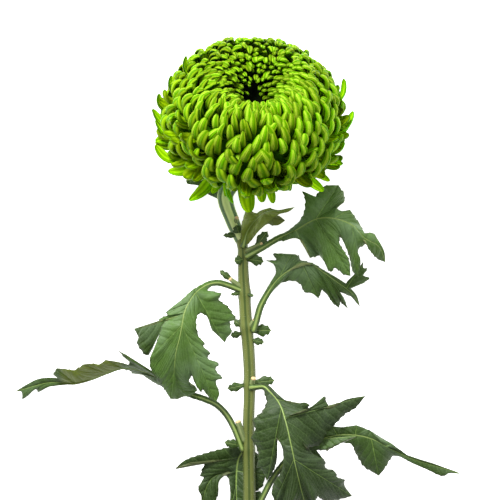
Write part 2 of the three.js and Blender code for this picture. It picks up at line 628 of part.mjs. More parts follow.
const LEAF_LOWER_RIGHT = {
  hand: 1, stalk: 5, width: 3.2, sag: 0.3,
  rib: [
    [1.2, -196.5, -20.5], [5.5, -187.5, -17], [9, -180.5, -14.5], [13, -174.5, -12.5], [18.5, -168, -11],
    [26, -162.5, -10], [33.5, -159, -9.5], [42.5, -157, -9.5], [51.5, -157, -10], [59.5, -159, -12],
    [66.5, -162.5, -15], [72.5, -165.5, -18], [79.5, -168.5, -21], [87.5, -171, -24], [95.5, -173.5, -26.5],
    [103, -176, -28.8],
  ],
  lobes: [
    { at: 7, tip: [39.8, -152.4, -9], small: true,
      gap: [[30, -156.5, -9.5]], out: [[36, -154]], back: [[44.5, -153]] },
    { at: 8, tip: [52, -151.9, -9.5], small: true, back: [[58.8, -154.6]] },
    { at: 10, tip: [70, -161.5, -14.5], small: true, out: [[65.3, -158.8]], back: [[73, -163.8]] },
    { at: 12, gap: [[77, -166.5, -19.5]], out: [[83, -168.6, -21.5], [90.8, -171.2, -24.5]],
      back: [[97, -175.8, -27], [94.5, -177, -26.5], [86, -173.6, -23.8], [79.5, -170.8, -21.3]] },
    { at: 9, tip: [63.5, -178, -20],
      gap: [[74.5, -168.5, -19]], out: [[71, -168, -18], [66.5, -174.3, -18.5]],
      back: [[58.8, -175.2], [56, -173.3], [51.5, -166.2]] },
    { at: 6, tip: [51.8, -157.2, -1.5],
      gap: [[49, -161.5, -11], [42, -161.2, -10.5]], out: [[37, -164.6, -11.5], [44, -160.9, -9.5]],
      back: [[44, -160.6, -3], [36, -164.4, -5.5]] },
    { at: 5, tip: [36, -170, -13], small: true,
      gap: [[32, -164.6, -9.5]], out: [[33.6, -166.8, -11]], back: [[31.5, -171, -13], [27, -167, -11.5]] },
  ],
};

const LEAF_LOWER_LEFT = {
  hand: -1, stalk: 0, width: 3.2, sag: 0.1,
  rib: [
    [-4.6, -165.5, -24.5], [-7, -169, -26.5], [-8.2, -176, -28], [-8.6, -184, -28.4], [-8.4, -192, -28],
    [-7.5, -200, -27.4], [-6.5, -208, -26.9], [-6, -214, -26.6],
  ],
  lobes: [
    { at: 1, tip: [-39.3, -174.4, -21],
      out: [[-10, -163.5, -23.5], [-15.5, -164.4, -22], [-22.6, -166.2, -20.5], [-34.6, -170.2, -19.5]],
      back: [[-33.8, -172, -20.5], [-27.4, -171.3, -21.5]] },
    { at: 2, tip: [-27, -196, -27.6],
      gap: [[-22.6, -170.4, -22]],
      out: [[-24.6, -172.5, -23], [-26.6, -178.4, -24.5], [-25, -179.2, -24.8], [-27.8, -184.8, -26],
        [-26.2, -189, -26.5]],
      back: [[-22, -196, -27.4], [-18, -190, -26.8]] },
    { at: 3, tip: [-14, -206, -27.2],
      gap: [[-15.5, -187.5, -26.6], [-17, -183, -26.2], [-15, -176.5, -26], [-12.6, -181, -27]],
      out: [[-12, -189, -27.4]], back: [[-10.5, -204, -27.2]] },
    { at: 5, gap: [[-9.8, -202, -27.2]], out: [[-8.8, -210, -26.9]], back: [[-3.5, -209, -26.9]] },
    { at: 4, tip: [5, -203, -26.5],
      gap: [[-3, -203, -27.2]], out: [[0, -205, -27.2]],
      back: [[4.5, -196, -26.4], [6, -190, -26.2], [3.5, -186, -26.6]] },
    { at: 2, tip: [6.5, -178, -25.8],
      gap: [[0, -187, -27]], out: [[4.5, -184, -26.2]],
      back: [[3.5, -172, -26.2], [2.2, -167, -26.2], [-1, -164.5, -26.2]] },
  ],
};

// Small leafy ears at the nodes of the stem, grown out of it: [root, tip, breadth]
const EARS = [
  [[-3.4, -68.5, -20], [5.4, -69.8, -17.4], 5.6],
  [[-4, -68.5, -20.5], [-9.4, -69.6, -18.4], 5],
  [[0.5, -63.6, -18.8], [7.4, -54.6, -17.6], 5.4],
  [[-8.6, -80.8, -20], [-17, -74.2, -19], 3.4],
  [[-4.6, -85.6, -20.6], [-11.4, -86.4, -18.6], 2.2],
  [[-4.2, -86.2, -20], [0.4, -87.2, -18.4], 2.2],
  [[-5, -103, -22.5], [-9.6, -99.6, -23], 4.2],
  [[-4.6, -106, -22.5], [-11.4, -107.2, -22], 4],
  [[-1.6, -104.6, -21], [9.3, -104.6, -20], 6.4],
  [[-1.8, -109.4, -21.5], [5.6, -110.6, -21], 4],
  [[-3, -132, -21.5], [-13, -134, -20], 4.8],
  [[-0.6, -131, -21.5], [11, -129.8, -20], 5.6],
  [[-3.8, -163.4, -21.5], [-14.5, -161, -19.5], 4.8],
  [[-6, -56.4, -22], [-15.2, -56.6, -20], 3],
  [[-6.6, -57.2, -21.5], [-8.4, -51.4, -19], 5.4],
];
const EAR_ARCH = 0.8;
function ear([root, tip, breadth], extra) {
  const a = point(root);
  const run = point(tip).sub(a);
  const b = point(tip).addScaledVector(run.clone().normalize(), extra);
  const across = new THREE.Vector3(-run.y, run.x, 0).setLength(breadth / 2 + extra);
  const at = (f, share) => {
    const place = a.clone().lerp(b, f).addScaledVector(across, share);
    place.z += EAR_ARCH * (Math.sin(Math.PI * f) - 0.7 * Math.abs(share));
    return place.toArray();
  };
  return leaf({
    hand: 1, stalk: 0, width: breadth * 0.35, sag: 0, rib: [at(0, 0), at(0.5, 0), at(1, 0)],
    lobes: [
      { at: 1, gap: [at(0.35, 0.9)], out: [at(0.8, 0.85)], back: [at(0.75, -0.85), at(0.3, -0.9)] },
    ],
  }, extra);
}

// -------------------------------------------------------------------------------- the assembly

const surface = new THREE.BoxGeometry(600, 800, 100);
surface.translate(0, -100, -50);
const belowSurface = solidOfGeometry(surface);

const largest = (solid) => solid.decompose().sort((a, b) => b.volume() - a.volume())[0];

const stemWithEars = (extra) => (
  wasm.Manifold.union([stemSolid(extra), ...EARS.map((drawing) => ear(drawing, extra))]));
const stem = stemWithEars(0).subtract(belowSurface);
const stemSeat = stemWithEars(CLEARANCE);
const cup = largest(involucre().subtract(stemSeat));
const cupSeat = involucre(CLEARANCE);
const head = largest(bloom().subtract(cupSeat).subtract(stemSeat).subtract(belowSurface));

const LEAVES = {
  leaf_top: LEAF_TOP,
  leaf_neck: LEAF_NECK,
  leaf_upper_right: LEAF_UPPER_RIGHT,
  leaf_middle_right: LEAF_MIDDLE_RIGHT,
  leaf_left: LEAF_LEFT,
  leaf_far_left: LEAF_FAR_LEFT,
  leaf_front: LEAF_FRONT,
  leaf_lower_right: LEAF_LOWER_RIGHT,
  leaf_lower_left: LEAF_LOWER_LEFT,
};

const stemGreen = new THREE.MeshStandardMaterial({ color: 0x8a9a5b, roughness: 0.6, metalness: 0 });
const bractGreen = new THREE.MeshStandardMaterial({ color: 0x5f7f3a, roughness: 0.6, metalness: 0 });
const floretGreen = new THREE.MeshStandardMaterial({ color: 0x86bf1c, roughness: 0.45, metalness: 0 });
const leafGreen = new THREE.MeshStandardMaterial({ color: 0x44653f, roughness: 0.65, metalness: 0 });

const flower = new THREE.Group();
function addNode(name, solid, material) {
  const mesh = new THREE.Mesh(geometryOf(solid), material);
  mesh.name = name;
  flower.add(mesh);
}
addNode('stem', stem, stemGreen);
addNode('involucre', cup, bractGreen);
addNode('bloom', head, floretGreen);
for (const [name, drawing] of Object.entries(LEAVES)) {
  addNode(name, largest(leaf(drawing).subtract(stemSeat).subtract(belowSurface)), leafGreen);
}

export default flower;
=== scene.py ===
# A cut chrysanthemum bloom lying on its side: an incurved green head on a ribbed stem with lobed
# leaves. Metres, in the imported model's frame. Most pieces are drawn in millimetres in the flower's
# own frame: across, along (up the stem to the head) and up (away from the surface).

import math

import bpy
import numpy as np
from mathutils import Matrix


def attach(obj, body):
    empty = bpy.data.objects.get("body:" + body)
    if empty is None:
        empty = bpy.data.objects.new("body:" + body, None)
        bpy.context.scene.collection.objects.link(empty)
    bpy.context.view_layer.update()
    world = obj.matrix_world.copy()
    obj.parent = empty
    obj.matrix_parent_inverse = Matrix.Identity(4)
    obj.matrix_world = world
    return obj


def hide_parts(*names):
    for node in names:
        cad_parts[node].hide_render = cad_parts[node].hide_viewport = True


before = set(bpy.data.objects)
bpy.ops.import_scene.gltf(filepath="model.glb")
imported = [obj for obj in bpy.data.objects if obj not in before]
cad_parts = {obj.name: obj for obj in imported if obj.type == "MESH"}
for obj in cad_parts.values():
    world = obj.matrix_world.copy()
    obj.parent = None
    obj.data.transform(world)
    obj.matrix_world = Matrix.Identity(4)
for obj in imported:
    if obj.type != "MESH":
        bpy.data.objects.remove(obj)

bpy.ops.object.select_all(action="DESELECT")
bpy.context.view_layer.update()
scene = bpy.context.scene


# ------------------------------------------------------------------------------------ surface
# A large sheet of white board that the cut flower lies on. It isn't part of the flower. It glows
# a little, as board on a light table does, so that the flower's shadow stays faint.

def linear(red, green, blue):
    """A colour given in 0-255 screen values, as the shaders take it"""
    return (*(((value / 255 + 0.055) / 1.055) ** 2.4 if value > 10 else value / 3295
              for value in (red, green, blue)), 1)


def new_material(name, colour=(255, 255, 255), roughness=0.5):
    """A material, its node tree and its shader"""
    material = bpy.data.materials.new(name)
    material.use_nodes = True
    shader = material.node_tree.nodes["Principled BSDF"]
    shader.inputs["Base Color"].default_value = linear(*colour)
    shader.inputs["Roughness"].default_value = roughness
    return material, material.node_tree, shader


BOARD_GLOW = 0.86
bpy.ops.mesh.primitive_grid_add(x_subdivisions=4, y_subdivisions=4, size=7)
board = bpy.context.object
board.name = "white_board"
board_material, _, board_shader = new_material("white_board", (246, 246, 246), 0.9)
board_shader.inputs["Emission Color"].default_value = (1, 1, 1, 1)
board_shader.inputs["Emission Strength"].default_value = BOARD_GLOW
board.data.materials.append(board_material)


# ---------------------------------------------------------------------------- stem and its neck
# A ribbed green stem, bent into a thick neck behind the head, with a swelling at each leaf and a
# pale scar on each stub where a side shoot was pinched out. It lies sloping from head to cut end.

MM = 0.001
STEM_SLOPE = math.radians(3.5)
HEAD_HEIGHT = 40.6                 # middle of the head above the surface
REST_SPOT = (-2, 16.2)             # across, along: where the back of the head lies
FLOOR_GAP = 0.0001                 # metres that a bar keeps above the surface


def laid(points, lowest=None):
    """Flower frame, in mm, to the lying flower, in metres, with no point under the lowest height"""
    across, along, up = np.moveaxis(np.asarray(points, float), -1, 0)
    sine, cosine = math.sin(STEM_SLOPE), math.cos(STEM_SLOPE)
    height = MM * (along * sine + up * cosine + HEAD_HEIGHT)
    return np.stack([
        MM * (across - REST_SPOT[0]),
        MM * ((along - REST_SPOT[1]) * cosine - (up + HEAD_HEIGHT) * sine),
        height if lowest is None else np.maximum(height, lowest),
    ], axis=-1)


def spline(points, steps):
    """A smooth curve through the points, with so many steps between each two of them"""
    points = np.array(points, float)
    if len(points) < 3:
        share = np.linspace(0, 1, steps * (len(points) - 1) + 1)[:, None]
        return points[:1] + (points[-1:] - points[:1]) * share
    ends = np.vstack([2 * points[0] - points[1], points, 2 * points[-1] - points[-2]])
    pieces = []
    for a, b, c, d in zip(ends, ends[1:], ends[2:], ends[3:]):
        first, second, third = np.cumsum([np.linalg.norm(q - p) ** 0.5 for p, q in ((a, b), (b, c), (c, d))])
        t = np.linspace(first, second, steps, endpoint=False)[:, None]
        ab = a + (b - a) * t / first
        bc = b + (c - b) * (t - first) / (second - first)
        cd = c + (d - c) * (t - second) / (third - second)
        near = ab + (bc - ab) * t / second
        far = bc + (cd - bc) * (t - first) / (third - first)
        pieces.append(near + (far - near) * (t - first) / (second - first))
    return np.vstack([*pieces, points[-1:]])


def progress(line):
    """How far along a line each of its points lies, in mm"""
    return np.r_[0, np.cumsum(np.linalg.norm(np.diff(line, axis=0), axis=1))]


def at_shares(line, shares):
    """The points of a line at these shares of its length"""
    lengths = progress(line)
    return np.stack([np.interp(np.asarray(shares) * lengths[-1], lengths, line[:, k])
                     for k in range(line.shape[1])], axis=-1)


def sheet(name, points, uv):
    """A grid of faces whose rows and columns of points are given, with its UV map"""
    rows, columns = points.shape[:2]
    bpy.ops.mesh.primitive_grid_add(x_subdivisions=columns - 1, y_subdivisions=rows - 1, size=1)
    piece = bpy.context.object
    piece.name = name
    mesh = piece.data
    mesh.vertices.foreach_set("co", np.ascontiguousarray(points, dtype=np.float32).reshape(-1))
    corners = np.empty(len(mesh.loops), int)
    mesh.loops.foreach_get("vertex_index", corners)
    mesh.uv_layers[0].data.foreach_set("uv", uv.reshape(-1, 2)[corners].astype(np.float32).reshape(-1))
    piece.select_set(False)
    return piece


def set_attribute(piece, name, values):
    """A number for each point of a piece, or one for them all"""
    mesh = piece.data
    attribute = mesh.attributes.get(name) or mesh.attributes.new(name, "FLOAT", "POINT")
    attribute.data.foreach_set("value", np.broadcast_to(np.asarray(values, np.float32).reshape(-1),
                                                        len(mesh.vertices)).copy())


def joined(pieces, name, merge=0.02):
    """One piece out of many, with the points that meet merged; merge is in mm"""
    bpy.ops.object.select_all(action="DESELECT")
    for piece in pieces:
        piece.select_set(True)
    bpy.context.view_layer.objects.active = pieces[0]
    if len(pieces) > 1:
        bpy.ops.object.join()
    piece = bpy.context.object
    piece.name = name
    bpy.ops.object.mode_set(mode="EDIT")
    bpy.ops.mesh.select_all(action="SELECT")
    if merge:
        bpy.ops.mesh.remove_doubles(threshold=merge * MM)
        bpy.ops.mesh.dissolve_degenerate(threshold=merge * MM / 2)
    bpy.ops.mesh.delete_loose()
    bpy.ops.object.mode_set(mode="OBJECT")
    bpy.ops.object.shade_smooth()
    piece.select_set(False)
    return piece


def finish_modifier(piece, kind, **settings):
    """Adds a modifier to a piece and applies it"""
    bpy.context.view_layer.objects.active = piece
    modifier = piece.modifiers.new(kind.title(), kind)
    for key, value in settings.items():
        setattr(modifier, key, value)
    bpy.ops.object.modifier_apply(modifier=modifier.name)


def unit(vectors):
    return vectors / np.linalg.norm(vectors, axis=-1, keepdims=True)


def bar_sides(centres):
    """The sideways and downward directions at each point of a bar that lies along the centres"""
    along = unit(np.gradient(centres, axis=0))
    across = unit(np.cross(along, (0, 0, 1)))
    return across, np.cross(along, across)


def tube(name, centres, radius, sides):
    """A round bar along the centres; radius(share of its length, angle) is in mm"""
    across, over = bar_sides(centres)
    lengths = progress(centres)
    angles = np.linspace(0, 2 * math.pi, sides + 1)
    radii = radius((lengths / lengths[-1])[:, None], angles[None, :]) * np.ones((len(centres), sides + 1))
    ring = across[:, None] * np.cos(angles)[None, :, None] + over[:, None] * np.sin(angles)[None, :, None]
    points = centres[:, None] + ring * radii[..., None]
    points = np.concatenate([np.repeat(centres[None, :1], sides + 1, axis=1), points,
                             np.repeat(centres[None, -1:], sides + 1, axis=1)])
    lengths = np.r_[0, lengths, lengths[-1]]
    uv = np.stack(np.broadcast_arrays(angles[None, :] / (2 * math.pi), lengths[:, None]), axis=-1)
    return sheet(name, laid(points, FLOOR_GAP), uv)


def group(name, inputs, outputs):
    """A shader node group, with its input and output nodes"""
    tree = bpy.data.node_groups.new(name, "ShaderNodeTree")
    for socket, kind, value in inputs:
        made = tree.interface.new_socket(socket, in_out="INPUT", socket_type=kind)
        made.default_value = value
    for socket, kind in outputs:
        tree.interface.new_socket(socket, in_out="OUTPUT", socket_type=kind)
    return tree, tree.nodes.new("NodeGroupInput"), tree.nodes.new("NodeGroupOutput")


def add_node(tree, kind, inputs=(), **settings):
    """A shader node; inputs are (socket, value or another node's output)"""
    made = tree.nodes.new(kind)
    for key, value in settings.items():
        setattr(made, key, value)
    for socket, value in dict(inputs).items():
        if isinstance(value, bpy.types.NodeSocket):
            tree.links.new(value, made.inputs[socket])
        else:
            made.inputs[socket].default_value = value
    return made


def mathed(tree, operation, first, second=0.0, third=0.0):
    """The output of a Math node"""
    return add_node(tree, "ShaderNodeMath", {0: first, 1: second, 2: third}, operation=operation).outputs[0]


def blended(tree, share, first, second, blend="MIX"):
    """The output of a Mix node on colours"""
    return add_node(tree, "ShaderNodeMix", {0: share, 6: first, 7: second},
                    data_type="RGBA", blend_type=blend).outputs[2]


def ranged(tree, value, low, high, to_low=0.0, to_high=1.0):
    """The output of a smooth Map Range node"""
    return add_node(tree, "ShaderNodeMapRange",
                    {"Value": value, 1: low, 2: high, 3: to_low, 4: to_high},
                    interpolation_type="SMOOTHSTEP").outputs[0]


# Uneven colour, as in all the plant's green parts: paler and darker clouds over the surface
mottle, mottle_in, mottle_out = group(
    "mottled_green",
    [("Colour", "NodeSocketColor", (1, 1, 1, 1)), ("Clouds", "NodeSocketFloat", 120.0),
     ("Amount", "NodeSocketFloat", 0.3)],
    [("Colour", "NodeSocketColor"), ("Height", "NodeSocketFloat")],
)
mottle_place = add_node(mottle, "ShaderNodeTexCoord").outputs["Object"]
mottle_noise = add_node(mottle, "ShaderNodeTexNoise", {
    "Vector": mottle_place, "Scale": mottle_in.outputs["Clouds"], "Detail": 4.0, "Roughness": 0.6,
}).outputs["Fac"]
mottle_shade = mathed(mottle, "MULTIPLY_ADD", mathed(mottle, "SUBTRACT", mottle_noise, 0.5),
                      mathed(mottle, "MULTIPLY", mottle_in.outputs["Amount"], 2.4), 1.0)
mottle_hsv = add_node(mottle, "ShaderNodeHueSaturation", {
    "Color": mottle_in.outputs["Colour"], "Value": mottle_shade})
mottle.links.new(mottle_hsv.outputs["Color"], mottle_out.inputs["Colour"])
mottle.links.new(mottle_noise, mottle_out.inputs["Height"])


def mottled(tree, colour, clouds, amount):
    """The group above, placed in a material"""
    return add_node(tree, "ShaderNodeGroup", {"Colour": colour, "Clouds": clouds, "Amount": amount},
                    node_tree=mottle)


def bumped(tree, shader, height, distance, strength=1.0):
    """Sends a height, in shares of the distance (metres), to the shader's normal"""
    bump = add_node(tree, "ShaderNodeBump", {"Height": height, "Distance": distance, "Strength": strength})
    tree.links.new(bump.outputs["Normal"], shader.inputs["Normal"])


def painted(tree, shader, colour, clouds, amount, distance, strength=1.0, height=None):
    """A mottled colour for the shader, with bumps from its clouds or from the height that is given"""
    skin = mottled(tree, colour, clouds, amount)
    tree.links.new(skin.outputs["Colour"], shader.inputs["Base Color"])
    bumped(tree, shader, skin.outputs["Height"] if height is None else height, distance, strength)


def map_parts(tree):
    """The two parts of a piece's UV map"""
    coordinates = add_node(tree, "ShaderNodeUVMap", uv_map="UVMap").outputs["UV"]
    return add_node(tree, "ShaderNodeSeparateXYZ", {"Vector": coordinates}).outputs[:2]


def attributes(tree, *names):
    """What the attributes of these names say of each point of a piece"""
    return [add_node(tree, "ShaderNodeAttribute", attribute_name=name).outputs["Fac"] for name in names]


# The stem's skin: pale ribs between darker furrows, with fine lengthwise lines. The neck has one
# broad pale rib along its top, and is grey-green beside it. That rib is painted near-white: its own
# pale colour with painted light added, to make up for the head's shadow on the neck.
RIBS = 5
UP = 1.5 * math.pi                 # the angle round a bar at which it faces up
stem_skin, tree, shader = new_material("stem_skin", roughness=0.58)
shader.inputs["Specular IOR Level"].default_value = 0.3
around, lengthwise = map_parts(tree)
rib, neck_share = attributes(tree, "rib", "neck")
streak_place = add_node(tree, "ShaderNodeCombineXYZ", {
    "X": mathed(tree, "MULTIPLY", around, 26.0), "Y": mathed(tree, "MULTIPLY", lengthwise, 0.03)}).outputs[0]
streaks = add_node(tree, "ShaderNodeTexNoise", {
    "Vector": streak_place, "Scale": 1.0, "Detail": 3.0, "Roughness": 0.6}).outputs["Fac"]
rib_mask = ranged(tree, mathed(tree, "ADD", rib, mathed(tree, "MULTIPLY", streaks, 1.1)), -0.5, 0.5)
furrow_colour = blended(tree, neck_share, linear(60, 78, 26), linear(86, 116, 72))
# painted light: the neck's rib colour is near-white to make up for the head's shadow on it
rib_and_lit_neck_colour = blended(tree, neck_share, linear(104, 113, 54), linear(228, 240, 168))
painted(tree, shader, blended(tree, rib_mask, furrow_colour, rib_and_lit_neck_colour), 90.0, 0.14, 0.0004, 0.6, streaks)

shoot_scar, tree, shader = new_material("shoot_scar", roughness=0.8)
painted(tree, shader, linear(226, 190, 142), 900.0, 0.35, 0.0003)

# The cut end: pale pith inside a thin green rim
cut_pith, tree, shader = new_material("cut_pith", roughness=0.85)
rim_share = ranged(tree, attributes(tree, "rib")[0], 0.45, 0.95)
pith = blended(tree, rim_share, linear(222, 224, 190), linear(128, 146, 84))
painted(tree, shader, pith, 1200.0, 0.3, 0.0004)

NECK_LINE = [[-6, -25.5, -22.5], [-10.5, -30, -25.5], [-14, -37, -26.5], [-10.5, -49, -25], [-6, -59, -22.6]]
STEM_LINE = [
    [-6.4, -56, -22.6], [-5.2, -63, -22], [-4.9, -75, -22], [-4.3, -87, -22], [-3.6, -100, -22],
    [-2.4, -113, -22], [-1.7, -126, -22], [-1.8, -137, -22], [-2.3, -154, -22], [-1.9, -182, -22],
    [-1.6, -215, -22], [-1.5, -250, -22],
]
LEAF_NODES = [-60, -67, -86, -103, -132, -165, -196]
NECK_RADII = [[0, 4.8], [0.25, 4.3], [0.6, 3.7], [1, 3.2]]
STEM_RADII = [[0, 2.5], [0.05, 2.4], [0.14, 2.9], [0.25, 3.1], [0.45, 2.8], [0.7, 3.1], [1, 3.3]]
STUBS = [
    [[-9.5, -51.5, -23.5], [-8, -47.5, -20.3], 1.0],
    [[-3.6, -64.5, -20.6], [4.4, -60.8, -17.6], 1.0],
    [[-6.2, -82.5, -21], [-11.6, -78.6, -18.6], 1.1],
    [[-1.8, -103, -20.6], [1.0, -99.2, -17.8], 1.1],
    [[-0.9, -133, -20.6], [0.3, -128.6, -17.6], 1.2],
    [[-4, -161, -21.6], [-7.6, -150.4, -18.6], 1.4],
]


def from_table(table, x):
    return np.interp(x, *zip(*table))


STEM_SIDES = 40
STUB_SIDES = 14
SWELLING, SWELLING_REACH = 0.14, 2.6           # share of the radius at a leaf's foot, and mm along


def stem_ribs(angle):
    """Two ribs with a furrow between them on top, 1 on a rib and -1 in a furrow"""
    return -np.cos(RIBS * (angle - UP))


def neck_ribs(angle):
    """One broad rib along the top, and lower ones round the sides"""
    return np.cos(4 * (angle - UP)) + 1.2 * np.cos(angle - UP) - 1.2


def ribbed(angle):
    return 1 + 0.05 * stem_ribs(angle) + 0.012 * np.cos(3 * RIBS * angle)


stem_curve = at_shares(spline(STEM_LINE, 12), np.linspace(0, 1, 221))
neck_curve = at_shares(spline(NECK_LINE, 12), np.linspace(0, 1, 41))


def stem_radius(share, angle):
    along = np.interp(share, np.linspace(0, 1, len(stem_curve)), stem_curve[:, 1])
    swelling = 1 + sum(SWELLING * np.exp(-(((along - node) / SWELLING_REACH) ** 2)) for node in LEAF_NODES)
    return from_table(STEM_RADII, share) * swelling * ribbed(angle)


def neck_radius(share, angle):
    return from_table(NECK_RADII, share) * (1 + 0.03 * neck_ribs(angle))


def mark_ribs(piece, rows, ribs, neck):
    """Gives each point of a bar its place between furrow and rib, and neck is 1 on the neck and 0 below it"""
    angles = np.linspace(0, 2 * math.pi, STEM_SIDES + 1)
    set_attribute(piece, "rib", np.tile(ribs(angles), rows + 2))
    set_attribute(piece, "neck", neck)


stem_tube = tube("stem_tube", stem_curve, stem_radius, STEM_SIDES)
neck_tube = tube("neck_tube", neck_curve, neck_radius, STEM_SIDES)
mark_ribs(stem_tube, len(stem_curve), stem_ribs, 0)
mark_ribs(neck_tube, len(neck_curve), neck_ribs, 1)
stem_pieces = [stem_tube, neck_tube]
for foot, top, radius in STUBS:
    foot, top = np.array(foot), np.array(top)
    stub = tube("stub", np.linspace(foot, top, 9), lambda share, angle: radius * (1.25 - 0.25 * share),
                STUB_SIDES)
    set_attribute(stub, "rib", -0.6)
    set_attribute(stub, "neck", 0.5)
    scar_line = top + unit(top - foot) * np.linspace(-0.45, 0.3, 5)[:, None]
    cap = tube("scar", scar_line, lambda share, angle: radius * (1.06 - 0.4 * share ** 3), STUB_SIDES)
    set_attribute(cap, "rib", 0)
    set_attribute(cap, "neck", 0)
    stem_pieces += [stub, cap]

# The cut end closes in rings: mm past the end of the stem, and share of its radius
CUT_RINGS = [(0, 1.0), (0.14, 0.99), (0.22, 0.93), (0.26, 0.8), (0.28, 0.5), (0.29, 0.2)]
cut_out, cut_share = np.array(CUT_RINGS).T
cut_line = stem_curve[-1] + unit(stem_curve[-1] - stem_curve[-2]) * cut_out[:, None]
cut_end = tube("cut_end", cut_line, lambda share, angle: STEM_RADII[-1][1] * ribbed(angle)
               * np.interp(share, cut_out / cut_out[-1], cut_share), STEM_SIDES)
set_attribute(cut_end, "rib", np.repeat(np.r_[1, cut_share, 0], STEM_SIDES + 1))
set_attribute(cut_end, "neck", 0)
stem_pieces.append(cut_end)
for piece in stem_pieces:
    kind = piece.name.split(".")[0]
    piece.data.materials.append({"scar": shoot_scar, "cut_end": cut_pith}.get(kind, stem_skin))
stem = joined(stem_pieces, "ribbed_stem")
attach(stem, "root")
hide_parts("stem")

# Short soft hairs stand off the stem and its neck
HAIRS = 1400
NECK_HAIRS = 6                     # every sixth hair stands on the neck
HAIR_LENGTH = 0.7
HAIR_RADIUS = 0.03
HAIR_ROOT = 0.05                   # how deep a hair is set in the skin


def copied(shape, points):
    """A copy of a shape that is modelled once, with its points at these places"""
    copy = shape.copy()
    copy.data = shape.data.copy()
    scene.collection.objects.link(copy)
    copy.data.vertices.foreach_set("co", points.astype(np.float32).reshape(-1))
    return copy


hair_skin, tree, shader = new_material("hair_skin", (196, 204, 170), 0.6)
hair_clouds = mottled(tree, linear(196, 204, 170), 300.0, 0.2)
tree.links.new(hair_clouds.outputs["Colour"], shader.inputs["Base Color"])
bpy.ops.mesh.primitive_cone_add(vertices=3, radius1=1, radius2=0.2, depth=1, location=(0, 0, 0.5))
bpy.ops.object.transform_apply(location=True)
hair_shape = bpy.context.object
hair_points = np.array([v.co for v in hair_shape.data.vertices])
hair_random = np.random.default_rng(5)
hairs = []
for number in range(HAIRS):
    curve, radius = (stem_curve, stem_radius) if number % NECK_HAIRS else (neck_curve, neck_radius)
    place = hair_random.integers(1, len(curve) - 1)
    angle = hair_random.uniform(0, 2 * math.pi)
    across, over = (side[1] for side in bar_sides(curve[place - 1:place + 2]))
    outward = across * math.cos(angle) + over * math.sin(angle)
    foot = curve[place] + outward * (radius(place / (len(curve) - 1), angle) - HAIR_ROOT)
    lean = unit(outward + hair_random.normal(0, 0.3, 3))
    aside = unit(np.cross(lean, across + 0.3 * over))
    points = (foot + aside * hair_points[:, :1] * HAIR_RADIUS
              + np.cross(lean, aside) * hair_points[:, 1:2] * HAIR_RADIUS
              + lean * hair_points[:, 2:] * HAIR_LENGTH * hair_random.uniform(0.5, 1.2))
    hairs.append(copied(hair_shape, laid(points, 2 * FLOOR_GAP)))
stem_hairs = joined(hairs, "stem_hairs", merge=0)
stem_hairs.data.materials.append(hair_skin)
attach(stem_hairs, "root")
bpy.data.objects.remove(hair_shape)


# -------------------------------------------------------------------------------------- the head
# Over 800 ray florets grow from the end of the neck. Each is a soft green channel with its round
# back outwards, a hooded tip and fine lengthwise lines. They curve in over each other towards a
# dark sunken middle, where they are smallest, and the outermost ones hang out like a skirt.

HEAD_TILT = math.radians(48)       # the head's own axis, leaning back from straight up
HEAD_LEAN = math.radians(3)
HEAD_SECTION = [
    [0.5, 0, 0], [5, 9, 0], [9.5, 18, 0], [14.5, 24.5, 0], [21, 28.2, 0], [28, 28.6, 0], [34.5, 25, 0],
    [40, 18.5, 0], [44.5, 5, 0], [43.5, -8, 0], [37, -19, 0], [26, -27, 0], [13, -31, 0],
]
SECTION_STEPS = 400
head_axis = unit(np.array([math.sin(HEAD_LEAN), math.sin(HEAD_TILT), math.cos(HEAD_TILT)]))
head_across = unit(np.array([1, 0, 0]) - head_axis * head_axis[0])
head_up = np.cross(head_axis, head_across)
stations = np.linspace(0, 1, SECTION_STEPS + 1)
section = at_shares(spline(HEAD_SECTION, 12), stations)[:, :2]
section_run = unit(np.gradient(section, axis=0))


def head_skin(share, turn):
    """Point, outward and poleward directions of the head's skin"""
    at = min(int(round(share * SECTION_STEPS)), SECTION_STEPS)
    radius, height = section[at]
    run = section_run[at]
    spoke = head_across * math.cos(turn) + head_up * math.sin(turn)
    return (spoke * radius + head_axis * height,
            spoke * -run[1] + head_axis * run[0],
            spoke * -run[0] - head_axis * run[1])


# The floret, modelled once: a channel of ten points round, one long and two wide, with a shallow
# groove down its back, lengthened step by step along Z and closed at the tip. Each row is a share
# of the length, and the width and the arch there.
CHANNEL = [
    (-1, -0.08), (-0.9, 0.56), (-0.48, 1.0), (0, 0.9), (0.48, 1.0), (0.9, 0.56), (1, -0.08),
    (0.66, 0.24), (0, 0.62), (-0.66, 0.24),
]
FLORET_ROWS = [(0.2, 0.8, 0.88), (0.42, 0.96, 1.0), (0.62, 1.0, 1.06), (0.79, 0.94, 1.06), (0.9, 0.78, 0.92),
               (0.965, 0.54, 0.7), (1.0, 0.2, 0.36)]
ROOT_WIDTH, ROOT_ARCH = 0.66, 0.8
bpy.ops.mesh.primitive_circle_add(vertices=len(CHANNEL), radius=1, fill_type="NGON")
floret_shape = bpy.context.object
floret_shape.name = "floret"
order = np.argsort([-math.atan2(v.co.y, v.co.x) for v in floret_shape.data.vertices])
for rank, index in enumerate(order):
    floret_shape.data.vertices[index].co = (*CHANNEL[rank], 0)
bpy.ops.object.mode_set(mode="EDIT")
bpy.ops.mesh.select_all(action="SELECT")
bpy.ops.transform.resize(value=(ROOT_WIDTH, ROOT_ARCH, 1), center_override=(0, 0, 0))
before = (0, ROOT_WIDTH, ROOT_ARCH)
for row in FLORET_ROWS:
    bpy.ops.mesh.extrude_region_move(TRANSFORM_OT_translate={"value": (0, 0, row[0] - before[0])})
    bpy.ops.transform.resize(value=(row[1] / before[1], row[2] / before[2], 1), center_override=(0, 0, 0))
    before = row
bpy.ops.mesh.select_all(action="SELECT")
bpy.ops.mesh.normals_make_consistent(inside=False)
bpy.ops.object.mode_set(mode="OBJECT")
floret_uv = floret_shape.data.uv_layers.new(name="UVMap")
for loop in floret_shape.data.loops:
    co = floret_shape.data.vertices[loop.vertex_index].co
    floret_uv.data[loop.index].uv = (co.x * 0.5 + 0.5, co.z)
